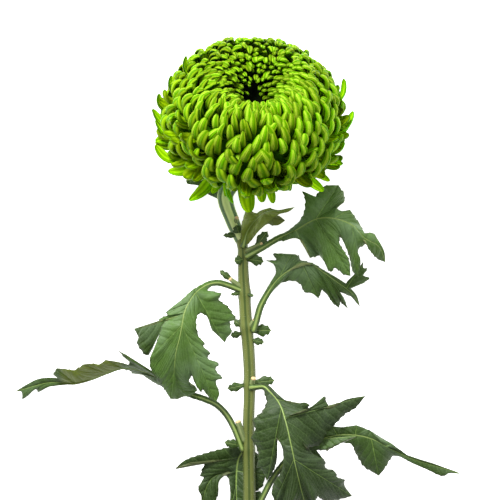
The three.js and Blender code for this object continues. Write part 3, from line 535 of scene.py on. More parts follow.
for name in ("tone", "age", "depth"):
    set_attribute(floret_shape, name, 0)
shape_points = np.array([v.co for v in floret_shape.data.vertices])
hollow_points = set(order[7:])     # the channel's last three points line its hollow
set_attribute(floret_shape, "hollow", [i % len(CHANNEL) in hollow_points for i in range(len(shape_points))])

# The floret's skin: dark where it leaves the head, which is painted shade between the florets, and
# paler green towards the tip, partly its own colour and partly a painted highlight; yellower in the
# outer ones, with fine lines along it
floret_skin, tree, shader = new_material("floret_skin", roughness=0.42)
shader.inputs["Specular IOR Level"].default_value = 0.03
shader.inputs["Specular Tint"].default_value = (0.8, 1, 0.35, 1)
shader.inputs["Subsurface Weight"].default_value = 0.08
shader.inputs["Subsurface Radius"].default_value = (0.0010, 0.0014, 0.0002)
across, along = map_parts(tree)
tone, age, depth, hollow = attributes(tree, "tone", "age", "depth", "hollow")
off_middle = mathed(tree, "ABSOLUTE", mathed(tree, "SUBTRACT", across, 0.5))
# painted shade: the body is darker towards the root
body = blended(tree, ranged(tree, along, 0.5, 0.86), linear(60, 122, 0), linear(96, 152, 0))
# the pale tip: the floret's own paler tip with a painted highlight on it
body = blended(tree, ranged(tree, along, 0.86, 1.0), body, linear(178, 214, 54))
# painted shade: near the root the floret turns almost black, where the florets overlap
body = blended(tree, ranged(tree, along, 0.3, 0.75, 1.0, 0.0), body, linear(22, 66, 0))
outer = blended(tree, ranged(tree, along, 0.4, 0.85), linear(124, 164, 0), linear(86, 150, 2))
# the outer florets' pale tips: their own paler colour with a painted highlight on it
outer = blended(tree, ranged(tree, along, 0.86, 1.0), outer, linear(172, 212, 50))
body = blended(tree, age, body, outer)
lined = mathed(tree, "COSINE", mathed(tree, "MULTIPLY", across, 8 * math.pi))
# the hollow side: its own pale green, lightened further as painted light against the head's shadow on the
# skirt
inside = blended(tree, ranged(tree, off_middle, 0.0, 0.3), linear(112, 160, 0), linear(168, 204, 8))
inside = blended(tree, ranged(tree, lined, -0.9, 0.1, 0.5, 0.0), inside, linear(62, 116, 0))
body = blended(tree, mathed(tree, "MULTIPLY", hollow, 0.9), body, inside)
body = blended(tree, ranged(tree, off_middle, 0.41, 0.5, 0.0, 0.85), body, linear(182, 216, 36))
# painted shade: depth darkens the florets round the pit and the low ones at the front
body = blended(tree, depth, body, linear(16, 44, 0))
line_strength = mathed(tree, "MULTIPLY", ranged(tree, lined, 0.0, 1.0), 0.24)
body = blended(tree, line_strength, body, linear(150, 198, 24))
toned = add_node(tree, "ShaderNodeHueSaturation", {
    "Color": body, "Hue": mathed(tree, "MULTIPLY_ADD", tone, 0.014, 0.493),
    "Value": mathed(tree, "MULTIPLY_ADD", tone, 0.46, 0.66)}).outputs["Color"]
painted(tree, shader, toned, 160.0, 0.16, 0.00022, 0.7, lined)

core_skin, tree, shader = new_material("head_core", roughness=0.9)
shader.inputs["Specular IOR Level"].default_value = 0.1
# painted shade: the core turns almost black down in the pit
core_green_with_pit_shade = blended(tree, attributes(tree, "depth")[0], linear(56, 108, 0), linear(4, 14, 0))
painted(tree, shader, core_green_with_pit_shade, 220.0, 0.3, 0.0006)

FLORETS = 850                      # places for florets, those inside the pit among them
CROWDING = [[0, 1.8], [0.3, 1.8], [0.42, 1]]   # how much closer they stand than by their size
FLORET_LENGTH = 19.5
FLORET_WIDTH = 5.9
FLORET_ARCH = 2.5
FLORET_STEPS = 24                  # steps along a floret's path
CORE_DEPTH = 8.5
SIZES = [[0, 0.56], [0.1, 0.6], [0.2, 0.66], [0.3, 0.73], [0.4, 0.84], [0.5, 0.98], [0.65, 1.1], [1, 1.1]]
# How a floret bends, by its place on the section: the direction of its root and of its tip in
# degrees, from straight out (0) to straight towards the middle of the head (90) and past it; and
# how far its middle line stands out of the skin, in mm
ROOT_ANGLE = [
    [0, -75], [0.1, -65], [0.2, -38], [0.3, -20], [0.45, -8], [0.6, 0], [0.75, -15], [0.88, 20], [1, 50],
]
TIP_ANGLE = [
    [0, 0], [0.1, 20], [0.2, 48], [0.3, 84], [0.45, 122], [0.6, 142], [0.75, 125], [0.88, 95], [1, 95],
]
PROUD = [[0, -1.0], [0.2, -0.6], [0.35, -0.3], [0.6, -0.5], [1, -1]]
WANDER = [[0, 0.5], [0.3, 0.5], [0.5, 0.34], [1, 0.4]]     # radians off the straight way in
SPREAD = [[0.4, 0], [0.5, 0.12], [0.6, 0.5], [0.85, 0.75]]  # share of the florets that stand off
random = np.random.default_rng(11)


def pit_edge(turn):
    """The share at which florets start. The bare pit has a cleft away from the neck and is wider to the
    left"""
    cleft = max(0, math.sin(turn)) ** 30
    wide = max(0, math.cos(turn - math.radians(205))) ** 4
    return 0.075 + 0.09 * cleft + 0.035 * wide


def floret_size(share):
    return from_table(SIZES, share)


def floret_along(path, side, back, width, arch, tone, age, depth):
    """A copy of the floret, bent along a path and with a width for each of its points; side and back say
    which way it faces"""
    rows = np.linspace(0, 1, len(path))
    x, y, z = shape_points.T
    middle, sideways, backwards = (
        np.stack([np.interp(z, rows, line[:, k]) for k in range(3)], axis=-1) for line in (path, side, back))
    x = x * np.interp(z, rows, width) / 2
    points = middle + sideways * x[:, None] + backwards * (y * arch)[:, None]
    copy = copied(floret_shape, laid(points, 2 * FLOOR_GAP))
    for name, value in (("tone", tone), ("age", age), ("depth", depth)):
        set_attribute(copy, name, value)
    return copy


def floret(share, turn, hangs):
    """One floret of the head, at a share of its section and a turn round its axis; one that hangs bends
    away from the middle, out of sight behind the skirt"""
    skin, outward, poleward = head_skin(share, turn)
    sideways = np.cross(outward, poleward)
    wander, lean, twist = random.uniform(-1, 1, 3) * (from_table(WANDER, share), 0.5, 0.9)
    size = floret_size(share)
    first = from_table(ROOT_ANGLE, share) + random.uniform(-9, 9)
    last = from_table(TIP_ANGLE, share) + random.uniform(-26, 26)
    proud = from_table(PROUD, share) * size + random.uniform(-1.1, 1.1) * size
    length = FLORET_LENGTH * size * random.uniform(0.88, 1.14)
    width = FLORET_WIDTH * size * random.uniform(0.88, 1.12)
    hook = random.uniform(1.6, 2.3)
    beside = 0.3 + 0.7 * math.cos(turn) ** 2          # fewer stand off at the front
    if hangs:
        first, last, proud = -25, random.uniform(-95, -65), random.uniform(-6, -3)
    elif random.random() < from_table(SPREAD, share) * beside:
        last = random.uniform(20, 85)
        hook = 2.6
        proud += random.uniform(1.5, 4.5)
        width *= 1.15
    first, last = math.radians(first), math.radians(last)
    f = np.linspace(0, 1, FLORET_STEPS + 1)[:, None]
    turned = wander + lean * f
    heading = poleward * np.cos(turned) + sideways * np.sin(turned)
    angle = first + (last - first) * f ** hook
    direction = outward * np.cos(angle) + heading * np.sin(angle)
    path = np.vstack([skin, skin + np.cumsum(direction[1:] * length / FLORET_STEPS, axis=0)])
    path += outward * (proud - max((path - skin) @ outward))
    path -= heading[0] * ((path[int(0.62 * FLORET_STEPS)] - skin) @ heading[0])
    back = outward * np.sin(angle) - heading * np.cos(angle)
    side = unit(np.cross(direction, back))
    roll = twist * (f - 0.3)
    side, back = side * np.cos(roll) + back * np.sin(roll), back * np.cos(roll) - side * np.sin(roll)
    age = float(np.clip((share - 0.55 + 0.22 * math.cos(turn) ** 2) / 0.25, 0, 1))
    # depth is painted shade: it darkens the florets round the pit, and the low ones at the front less
    shaded_low_front = 0 if hangs else max(0, -math.sin(turn)) * float(np.clip((share - 0.5) / 0.15, 0, 1))
    depth = max(0.7 * float(np.clip((0.16 - share) / 0.1, 0, 1)), 0.24 * shaded_low_front)
    widths = width * np.interp(f[:, 0], [0, 0.55, 1], [1, 1, random.uniform(0.55, 1.05)])
    return floret_along(path, side, back, widths, FLORET_ARCH * size, random.random(), age, depth)


def hung_floret(root, middle, tip, face, width, age, end=None):
    """A floret of the skirt, along its own line; its hollow side faces the way that face says, and end
    is the share of its width that it keeps at the tip"""
    f = np.linspace(0, 1, FLORET_STEPS + 1)
    path = at_shares(spline([root, middle, tip], 12), f)
    direction = unit(np.gradient(path, axis=0))
    back = -np.array(face, float)
    back = unit(back - direction * (direction @ back)[:, None])
    side = np.cross(direction, back)
    end = end or random.uniform(0.35, 0.8)
    widths = width * np.interp(f, [0, 0.5, 0.75, 1], [0.85, 1, 0.6 + 0.4 * end, end])
    # painted light: the skirt florets get a tone above the others', which lightens them against the shade
    # they hang in
    return floret_along(path, side, back, widths, 0.36 * width, random.uniform(1.3, 1.8), age, 0)


crowds = section[:, 0] * from_table(CROWDING, stations) / floret_size(stations) ** 2
areas = np.r_[0, np.cumsum(crowds[1:])]
golden_angle = math.pi * (3 - math.sqrt(5))
florets = []
for i in range(FLORETS):
    share = np.interp((i + 0.5) / FLORETS * areas[-1], areas, stations) + random.uniform(-0.01, 0.01)
    turn = i * golden_angle + random.uniform(-0.06, 0.06)
    if share > pit_edge(turn):
        hangs = share > 0.73 and math.sin(turn) < -0.4        # behind the skirt, at the front
        florets.append((share, floret(min(share, 1), turn, hangs)))

# The outermost florets, each with its root, middle, tip, the way its hollow side faces, its width,
# its yellowness and, where the tip is open, the share of the width that is left there
SKIRT = [
    [(-34, 1, -2), (-43, -1.5, 1), (-50, 6.5, 4), (0.3, 0.5, 0.8), 6.2, 0.2],
    [(-33, -4, -2), (-42, -6.5, 2), (-48.5, 1, 4), (0.3, 0.5, 0.8), 6.2, 0.3],
    [(-31, -10, 0), (-41, -7.5, 4), (-49, -9.5, 3), (0, 0.2, 1), 8.4, 0.5],
    [(-26, -15, 0), (-42, -18.5, 3), (-48.8, -11.5, 4), (0, 0.6, 0.8), 7, 0.8],
    [(-22, -19, 0), (-34, -24, 2), (-42.5, -24.5, 3), (0, 0.4, 0.9), 7.4, 1],
    [(-15, -19, 8), (-23.5, -33, 8), (-32, -39.4, 6), (0.5, 0.3, 0.8), 8, 1],
    [(-13, -20, 8), (-17.5, -31, 12), (-20.5, -36, 11), (0.2, 0.3, 1), 6, 0.9],
    [(-10, -20, 10), (-13, -31, 15), (-14, -37.5, 12), (-0.4, 0.2, 1), 6.2, 0.8],
    [(-3, -28, 14), (-12.6, -31.5, 17), (-9.5, -41, 13), (1, 0, 0.5), 5, 1],
    [(-5, -20, 10), (-3.6, -33, 17), (-1.6, -45.5, 14), (0.35, -0.1, 1), 9.4, 1, 0.95],
    [(1, -20, 10), (3.5, -31, 16), (4.6, -40.5, 13), (-0.1, 0, 1), 6.6, 0.8, 0.9],
    [(5, -20, 10), (7.5, -31, 16), (9.8, -41, 12), (-0.5, 0.1, 0.8), 5.6, 0.6, 1],
    [(9, -20, 10), (12, -29, 14), (13.5, -34.5, 12), (0, 0.5, 1), 5, 0.7],
    [(14, -18, 8), (17, -28, 13), (18.5, -34.8, 10), (-0.2, 0.4, 1), 5.5, 0.7],
    [(18, -14, 8), (22, -26, 12), (24.5, -32, 8), (-0.3, 0.4, 1), 5.5, 0.8],
    [(14, -18, 10), (25, -26.5, 12), (35.5, -34.5, 7), (-0.2, 0.6, 1), 6.4, 1, 0.9],
    [(24, -18, 4), (32, -25, 5), (38.5, -29.5, 3), (0, 0.6, 1), 5, 0.9],
    [(26, -13, 2), (36, -18.5, 4), (45, -20.8, 4), (0, 0.6, 0.8), 6.8, 0.8],
    [(32, -12, 2), (41, -14.5, 3), (45.5, -10, 4), (-0.2, 0.6, 0.8), 5.6, 0.6],
    [(33, -7, 2), (41.5, -9.5, 3), (46, -3.5, 4), (-0.2, 0.6, 0.8), 5.6, 0.5],
    [(30, -5, 2), (44, -4, 4), (49.8, 5.5, 4), (-0.5, 0.7, 0.6), 6.2, 0.5],
    [(34, 8, 2), (43.5, 12, 4), (45, 21.5, 6), (-0.6, 0.7, 0.5), 5.4, 0.1],
    [(-25, 20, 6), (-33, 25, 8), (-33, 32.5, 10), (0.5, 0.7, 0.5), 5, 0],
    [(-32, 12, 4), (-40, 16, 7), (-40.5, 23, 8), (0.4, 0.7, 0.6), 5.4, 0],
    [(-35, 6, 2), (-45, 7, 4), (-46.8, 14, 5), (0.4, 0.7, 0.6), 5.4, 0.1],
]
for row in SKIRT:
    florets.append((1, hung_floret(*row)))

# The solid middle, under the florets
core_shares = np.linspace(0.01, 1, 40)
core_turns = np.linspace(0, 2 * math.pi, 49)
core_points = np.empty((len(core_shares) + 2, len(core_turns), 3))
for i, share in enumerate(core_shares):
    for k, turn in enumerate(core_turns):
        skin, outward, _ = head_skin(share, turn)
        core_points[i + 1, k] = skin - outward * CORE_DEPTH * floret_size(share)
core_points[0] = core_points[1].mean(axis=0)
core_points[-1] = core_points[-2].mean(axis=0)
core = sheet("core", laid(core_points), np.zeros((*core_points.shape[:2], 2)))
# painted shade: how far the core is darkened, full in the pit and none from a third of the way out
core_pit_shade = np.r_[1, np.clip((0.3 - core_shares) / 0.12, 0, 1), 0]
set_attribute(core, "depth", np.repeat(core_pit_shade, len(core_turns)))
core = joined([core], "head_core")
core.data.materials.append(core_skin)
finish_modifier(core, "SUBSURF", levels=1, render_levels=1)
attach(core, "root")

FLORET_PIECES = [
    ("florets_middle", 0, 0.3), ("florets_crown", 0.3, 0.55), ("florets_sides", 0.55, 0.76),
    ("florets_skirt", 0.76, 2),
]
for name, low, high in FLORET_PIECES:
    piece = joined([copy for share, copy in florets if low <= share < high], name, merge=0)
    piece.data.materials.append(floret_skin)
    finish_modifier(piece, "SUBSURF", levels=1, render_levels=1)
    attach(piece, "root")
    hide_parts("bloom")
bpy.data.objects.remove(floret_shape)


# ------------------------------------------------------------------------------------ the leaves
# Each leaf is a thin lobed and toothed blade on a winged stalk, dark green with patches of greyish
# bloom above, which also stand in for a painted sheen, and paler beneath. A pale vein runs up its
# middle and one into each lobe, round underneath.

def leaf_skin(name, colour, cloud, grey):
    """The skin of a blade: dark green, pale along the veins, with a fine net of small ones"""
    material, tree, shader = new_material(name, roughness=0.5)
    shader.inputs["Specular IOR Level"].default_value = 0.3
    along, away = map_parts(tree)
    breadth, edge, turned, shade = attributes(tree, "vein", "edge", "turned", "shade")
    place = add_node(tree, "ShaderNodeTexCoord").outputs["Object"]
    patches = add_node(tree, "ShaderNodeTexNoise",
                       {"Vector": place, "Scale": 60.0, "Detail": 3.0}).outputs["Fac"]
    main = ranged(tree, mathed(tree, "SUBTRACT", away, breadth), -0.15, 0.3, 1.0, 0.0)
    side_place = mathed(tree, "MULTIPLY_ADD", away, -0.55, along)
    side_place = mathed(tree, "MULTIPLY_ADD", patches, 1.4, mathed(tree, "DIVIDE", side_place, 5.2))
    side_near = mathed(tree, "ABSOLUTE", mathed(tree, "SUBTRACT", mathed(tree, "FRACT", side_place), 0.5))
    side = ranged(tree, side_near, 0.0, 0.075, 1.0, 0.0)
    net = add_node(tree, "ShaderNodeTexVoronoi", {"Vector": place, "Scale": 620.0},
                   feature="DISTANCE_TO_EDGE").outputs["Distance"]
    face = blended(tree, turned, linear(*colour), linear(98, 112, 36))
    # the grey patches are partly the leaf's bloom and partly a painted sheen
    bloom = blended(tree, turned, linear(*grey), linear(114, 122, 50))
    base = mottled(tree, face, 55.0, cloud)
    bloom_and_sheen = blended(tree, ranged(tree, patches, 0.42, 0.72, 0.0, 0.6), base.outputs["Colour"], bloom)
    shaded = add_node(tree, "ShaderNodeHueSaturation", {"Color": bloom_and_sheen, "Value": shade}).outputs["Color"]
    netted = blended(tree, ranged(tree, net, 0.0, 0.09, 0.14, 0.0), shaded, linear(118, 146, 86))
    sided = blended(tree, mathed(tree, "MULTIPLY", side, 0.22), netted, linear(112, 142, 82))
    rimmed = blended(tree, ranged(tree, edge, 0.1, 0.7, 0.45, 0.0), sided, linear(52, 56, 30))
    vein_strength = mathed(tree, "MULTIPLY", main, ranged(tree, breadth, 0.0, 0.4, 0.3, 0.85))
    veined = blended(tree, vein_strength, rimmed, linear(138, 170, 84))
    tree.links.new(veined, shader.inputs["Base Color"])
    quilt = mathed(tree, "SUBTRACT", ranged(tree, side_near, 0.0, 0.32), mathed(tree, "MULTIPLY", main, 0.8))
    height = mathed(tree, "MULTIPLY_ADD", ranged(tree, net, 0.0, 0.12), 0.25, quilt)
    bumped(tree, shader, height, 0.00035, 0.7)
    return material


leaf_upper = leaf_skin("leaf_upper_side", (58, 84, 28), 0.34, (90, 112, 78))
leaf_under = leaf_skin("leaf_under_side", (98, 108, 60), 0.2, (112, 120, 78))

leaf_vein, tree, shader = new_material("leaf_vein", roughness=0.5)
vein_top = mathed(tree, "COSINE", mathed(tree, "MULTIPLY_ADD", map_parts(tree)[0], 2 * math.pi, -UP))
vein_green = blended(tree, ranged(tree, vein_top, 0.82, 1.0), linear(68, 92, 34), linear(142, 164, 86))
painted(tree, shader, vein_green, 150.0, 0.18, 0.0002, 0.5)

RIB_STEPS = 10                     # points on the middle vein between each two of the drawing
ACROSS_STEPS = 8                   # faces from a vein out to the edge
EDGE_STEP = 0.7                    # mm between points along a lobe's edge
BLADE = 0.45
WAVE = 1.1                         # height of the waves along the edge
QUILT = 1.5                        # most that the blade bulges between its veins
TOOTH_PITCH = 3.4
TOOTH = 0.8
SIDE_VEIN = 0.34                   # radius of a lobe's vein at its foot
VEIN_SUNK = 1.0                    # share of that radius by which the vein lies below the blade's top
VEIN_END = 0.12


def toothed(inner, outer, way):
    """An edge line with small teeth that point the way it runs, or back, where the blade is broad"""
    lengths = progress(outer)
    away = outer - inner
    span = np.linalg.norm(away, axis=1)
    beat = (way * lengths / TOOTH_PITCH) % 1
    clear = np.clip(np.minimum(lengths, lengths[-1] - lengths) / 2, 0, 1)
    height = TOOTH * (beat ** 1.8 - 0.3) * clear * np.clip((span - 2.5) / 4, 0, 1)
    return outer + away / np.maximum(span, 1e-6)[:, None] * height[:, None]


def fan(inner, outer, vein_place, vein_width, hand, turned, shade):
    """Part of a blade, between a vein and an edge line; shade darkens it towards the vein's end"""
    share = np.linspace(0, 1, ACROSS_STEPS + 1)[:, None, None]
    points = inner[None] + (outer - inner)[None] * share
    span = np.linalg.norm(outer - inner, axis=1)[None, :]
    out = share[..., 0]
    bulge = 4 * out * (1 - out) * np.minimum(QUILT, 0.12 * span)
    broad = np.clip((span - 3) / 6, 0, 1)
    u, v = points[..., 0], points[..., 1]
    wave = WAVE * np.sin(0.42 * u + 0.9) * np.sin(0.36 * v) * out ** 2 * broad
    fine_wave = 0.35 * np.sin(1.15 * u) * np.sin(1.3 * v + 0.7) * out ** 2 * broad
    points[..., 2] += bulge + wave + fine_wave
    uv = np.stack(np.broadcast_arrays(vein_place[None, :], out * span), axis=-1)
    shades = np.interp(vein_place, vein_place.max() * np.array([0.35, 0.55]), [1, shade])
    marks = {
        "vein": vein_width[None, :] * np.ones_like(out),
        "edge": (1 - out) * span,
        "shade": shades[None, :] * np.ones_like(out),
        "turned": np.interp(u, [turned[0] - 3, turned[0], turned[1], turned[1] + 3], [0, 1, 1, 0]),
    }
    way = -1 if hand < 0 else 1
    piece = sheet("fan", laid(points[::way], 6 * FLOOR_GAP), uv[::way])    # room for its thickness below
    for mark, values in marks.items():
        set_attribute(piece, mark, values[::way])
    return piece


def leaf(name, hand, stalk, width, sag, rib, lobes, vein_start=0.55, thickness=1, turned=(900, 900)):
    """A leaf, drawn round its edge as its solid is; its underside shows from one place across to another"""
    rib = np.array(rib, float)
    last_rib = len(rib) - 1
    rib_line = spline(rib, RIB_STEPS)
    rib_place = progress(rib_line)
    blade_share = np.clip(np.arange(len(rib_line)) / (RIB_STEPS * last_rib), 0, 1)
    rib_vein = vein_start * (1 - 0.75 * blade_share)
    fans, tubes = [], []

    def stalk_edge(i, side):
        ahead = rib[i + 1] - rib[max(i - 1, 0)]
        across = np.array([-ahead[1], ahead[0], 0])
        return rib[i] + across / np.linalg.norm(across) * side * width / 2

    def placed(p, vein_line):
        if len(p) == 3:
            return np.array(p, float)
        away = np.hypot(vein_line[:, 0] - p[0], vein_line[:, 1] - p[1])
        nearest = np.argmin(away)
        return np.array([p[0], p[1], vein_line[nearest, 2] - sag * away[nearest]])

    def rib_run(start, end):
        """Points, places and breadths of the middle vein from one drawn point to another"""
        step = 1 if end >= start else -1
        index = np.arange(start * RIB_STEPS, end * RIB_STEPS + step, step)
        return rib_line[index], rib_place[index], rib_vein[index]

    def add_fan(run, outer, way=1, shade=1):
        inner, place, breadth = run
        outer = spline(outer, 12)
        if len(inner) == 1:
            count = max(int(progress(outer)[-1] / EDGE_STEP), 2) + 1
            inner, place, breadth = (np.repeat(part, count, axis=0) for part in run)
            shares = np.linspace(0, 1, count)
        else:
            lengths = progress(inner)
            shares = lengths / lengths[-1]
        outer = toothed(inner, at_shares(outer, shares), way)
        fans.append(fan(inner, outer, place, breadth, hand, turned, shade))

    side, start = hand, 0
    last = stalk_edge(0, side)
    for lobe in lobes:
        at, tip = lobe["at"], lobe.get("tip")
        run = rib_run(start, at)
        between = range(start + 1, at) if at > start else range(start - 1, at, -1)
        edge = [last, *(stalk_edge(i, side) for i in between if i <= stalk),
                *(placed(p, run[0]) for p in lobe.get("gap", []))]
        if len(edge) > 1 or len(run[0]) > 1:
            if len(edge) == 1:
                edge = [edge[0], edge[0] + 1e-4]
            add_fan(run, edge)
            last = edge[-1]
        if tip:
            tip = np.array(tip, float)
            foot = rib[at]
            bow = np.array([0, 0, 0.05 * np.linalg.norm(tip - foot)])
            vein_line = spline([foot, lobe.get("via", (foot + tip) / 2 + bow), tip], 4)
            drawn = [last, *(placed(p, vein_line) for p in lobe.get("out", [])), tip]
            drawn_back = [tip, *(placed(p, vein_line) for p in lobe.get("back", []))]
            count = int(max(progress(np.array(q))[-1] for q in (drawn, drawn_back)) / EDGE_STEP) + 2
            vein_line = at_shares(vein_line, np.linspace(0, 1, count))
            lobe_vein = 0.4 * vein_start * (1 - 0.8 * np.linspace(0, 1, count))
            vein_run = (vein_line, progress(vein_line), lobe_vein)
            tubes.append(vein_line)
        else:
            side = -hand
            vein_run = rib_run(at, last_rib)
            drawn = [last, *(placed(p, vein_run[0]) for p in lobe.get("out", [])), rib[-1]]
            drawn_back = [rib[-1], *(placed(p, vein_run[0]) for p in lobe.get("back", []))]
        add_fan(vein_run, drawn, shade=lobe.get("shade", 1))
        if len(drawn_back) > 1:
            add_fan(tuple(part[::-1] for part in vein_run), drawn_back, -1, lobe.get("shade", 1))
        last = drawn_back[-1]
        start = at
    home = [last, *(stalk_edge(i, side) for i in range(start - 1, -1, -1) if i <= stalk)]
    if len(home) == 1:
        home.append(stalk_edge(0, side))
    add_fan(rib_run(start, 0), home)

    blade = joined(fans, name, merge=0.05)
    blade.data.materials.append(leaf_upper)
    blade.data.materials.append(leaf_under)
    finish_modifier(blade, "SOLIDIFY", thickness=BLADE * MM, offset=-1, material_offset=1)

    stalk_end = progress(rib)[max(stalk, 1)]
    foot = rib_line[0] - (rib_line[1] - rib_line[0]) / np.linalg.norm(rib_line[1] - rib_line[0]) * 1.6
    centres = np.vstack([foot, rib_line])
    lengths = progress(centres)
    places = [0, 0.4 * stalk_end, stalk_end, stalk_end + 12, lengths[-1]]
    radii = np.interp(lengths, places, [0.5 * width, 0.36 * width, 0.27 * width, 0.18 * width, VEIN_END])
    radii *= thickness
    centres[:, 2] -= radii * np.interp(lengths, [0, stalk_end, stalk_end + 8], [0.1, 0.3, 0.72])
    veins = [tube("vein", centres, lambda share, angle: np.interp(share, lengths / lengths[-1], radii), 12)]
    for line in tubes:
        line[:, 2] -= VEIN_SUNK * SIDE_VEIN
        veins.append(tube("vein", line, lambda share, angle: SIDE_VEIN + (VEIN_END - SIDE_VEIN) * share, 8))
    veins = joined(veins, "veins", merge=0.01)
    for vertex in veins.data.vertices:
        vertex.co.z = max(vertex.co.z, 3 * FLOOR_GAP)
    veins.data.materials.append(leaf_vein)
    return joined([blade, veins], name, merge=0)


def placed_leaf(name, node, shade=1, **drawing):
    """A leaf that stands for its solid, paler or darker than the others"""
    blade = leaf(name, **drawing)
    shades = np.empty(len(blade.data.vertices), np.float32)
    blade.data.attributes["shade"].data.foreach_get("value", shades)
    set_attribute(blade, "shade", shades * shade)
    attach(blade, "root")
    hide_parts(node)


# The drawings of the leaves. The middle vein, rib, runs from the stem to the tip, and its first
# points up to number stalk are bare stalk, width wide. hand is 1 where the drawing starts on the
# left. Each lobe's vein runs from rib point at, past via where there is one, to its tip; its edge
# passes the points gap before it, out on the way to the tip and back on the way home, and shade
# darkens its outer part. The lobe with no tip is the end of the leaf.
LEAF_TOP = dict(
  hand=1, stalk=0, width=3.4, sag=0.25,
  rib=[
    [-4.6, -61, -19.4], [-3.2, -55.5, -18], [-0.5, -51, -14.5], [2.5, -47.8, -10], [5.5, -45.5, -5],
    [9.5, -44.3, -1], [13.5, -44.8, 1.5], [17.5, -44, 2], [21, -42.5, 1.5],
  ],
  lobes=[
    dict(at=3, tip=[-3.5, -43.5, -12],
      gap=[[-6.2, -58.5, -18.4], [-6, -52, -16]], out=[[-5, -48, -14]], back=[[-0.8, -44.6, -10]]),
    dict(at=4, tip=[8.6, -42.8, -3],
      gap=[[1.7, -45.6, -9]], out=[[4.3, -44, -6]], back=[[9.6, -43.4, -1.5]]),
    dict(at=5, out=[[13, -44, 1.2], [17, -43.2, 1.8]], back=[[17.8, -44.9, 1.6], [13.7, -45.9, 1]]),
    dict(at=4, tip=[16, -49.4, -5], shade=0.6,
      gap=[[10.2, -47.6, -2.5]], out=[[12.7, -47.2, -2]],
      back=[[13, -51.4, -6], [10.4, -51.8, -6.5], [7.4, -51, -8], [5.3, -52.3, -10.5], [2.3, -55.2, -14],
        [-0.6, -59, -17]]),
  ],
)
placed_leaf("leaf_top_blade", "leaf_top", shade=1.5, turned=(-50, 50), **LEAF_TOP)

LEAF_NECK = dict(
  hand=-1, stalk=0, width=2.6, sag=0.1,
  rib=[[-15.5, -38.5, -28.5], [-19, -33, -30], [-24, -29.3, -31], [-29, -28.3, -31], [-34, -28.6, -30.5]],
  lobes=[
    dict(at=2, tip=[-23, -24.5, -31],
      gap=[[-17, -32, -30]], out=[[-20, -28, -30.5]], back=[[-26, -25.8, -31]]),
    dict(at=3, out=[[-31, -26, -30.8]], back=[[-33.5, -30.3, -30.6], [-29.5, -31, -31]]),
    dict(at=1, tip=[-22.5, -36, -31.5], gap=[[-26, -31.6, -31]], back=[[-19, -37.5, -31]]),
  ],
)
placed_leaf("leaf_neck_blade", "leaf_neck", **LEAF_NECK)

LEAF_UPPER_RIGHT = dict(
  hand=1, stalk=2, width=3.2, sag=0.3,
  rib=[
    [-2.2, -66.8, -18.2], [4.5, -63, -17], [13, -58, -13.5], [21.5, -54, -8.5], [31.5, -48.5, -3],
    [40.5, -48.2, 1], [49.5, -51.5, 2], [55.8, -58, -0.5], [63, -62.2, -5], [66.6, -70.2, -12],
  ],
  lobes=[
    dict(at=4, tip=[43, -31.4, -9],
      gap=[[17, -54.6], [23.3, -49.5]],
      out=[[25.5, -45], [26.1, -38.6], [25, -34.7], [28.4, -36.1], [30.3, -38.1], [33.8, -33.5],
        [36.3, -31.7]],
      back=[[45.9, -36.1], [46.1, -39.3]]),
    dict(at=5, tip=[48.5, -43.8, -1],
      gap=[[41.4, -42.8]], out=[[44.3, -44.4]], back=[[53.5, -50.8]]),
    dict(at=7, gap=[[55.8, -55.5]], out=[[60.3, -55.6], [62.5, -58.5], [66, -64.8]],
      back=[[62.8, -68.7], [57.7, -63.5]]),
    dict(at=6, tip=[52.9, -77.5, -9],
      gap=[[56.8, -60.7]], out=[[52.6, -64.2], [53.9, -68.7]],
      back=[[50.2, -75, -10], [48.5, -68, -7.5], [46, -61.5, -3.5]]),
    dict(at=4, tip=[48.8, -77, -2],
      gap=[[43.6, -56.5]], out=[[43.3, -60.5, 0.5], [46.2, -65.5, 0], [48.1, -69, -0.5]],
      back=[[45.5, -76.3], [41.1, -73.1], [38.9, -75], [37.9, -74.4], [35.7, -69.9]]),
    dict(at=3, tip=[28.7, -68, -9],
      gap=[[33.5, -66.8]], back=[[26.5, -62.3], [23.9, -58.8], [20.7, -58.1], [15, -59.7]]),
  ],
)
placed_leaf("leaf_upper_right_blade", "leaf_upper_right", shade=1.55, **LEAF_UPPER_RIGHT)

LEAF_MIDDLE_RIGHT = dict(
  hand=1, stalk=3, width=3.4, sag=0.3,
  rib=[
    [0.6, -103.5, -18.2], [1.8, -99.5, -17], [4, -92, -15], [8.5, -84, -12.5], [13, -78.2, -10],
    [18.5, -74, -8], [24.5, -70.5, -7.5], [30.5, -72, -8], [36.5, -76, -9.5], [42, -80, -12],
    [47, -83.5, -15], [51, -87, -18.5], [54.2, -92.9, -23],
  ],
  lobes=[
    dict(at=4, tip=[19.5, -66, -9],
      gap=[[9.2, -79.5]], out=[[11.5, -75], [9.8, -70.6], [6.7, -69.3], [11.7, -68.7], [9.9, -66.1]],
      back=[[22.3, -66.4], [23.9, -69]]),
    dict(at=10, tip=[55.5, -69.9, -13],
      gap=[[30.9, -71], [34.7, -73.5], [42.4, -78], [46.8, -80.8]], out=[[47.7, -79.5], [52, -75]],
      back=[[55.7, -73.1], [57.7, -73.1], [55.7, -77], [59, -77.9], [55.7, -80.8]]),
    dict(at=10, gap=[[49.4, -83.4]], out=[[52.4, -87]], back=[[49.6, -87.6]]),
    dict(at=8, tip=[47.8, -93.5, -19],
      gap=[[43.9, -85.2]], out=[[46, -88.4]], back=[[45.4, -91.5]]),
    dict(at=7, tip=[43.4, -93.2, -18],
      gap=[[44.2, -89.4]], back=[[40.5, -91], [37.3, -86.5]]),
    dict(at=6, tip=[33, -88.4, -13],
      gap=[[34.7, -84]],
      back=[[29.6, -85.8], [25.8, -85.2], [24.9, -83.3], [23.3, -80.8], [19.4, -79.5], [14.3, -80.5]]),
  ],
)
placed_leaf("leaf_middle_right_blade", "leaf_middle_right", shade=1.12, **LEAF_MIDDLE_RIGHT)

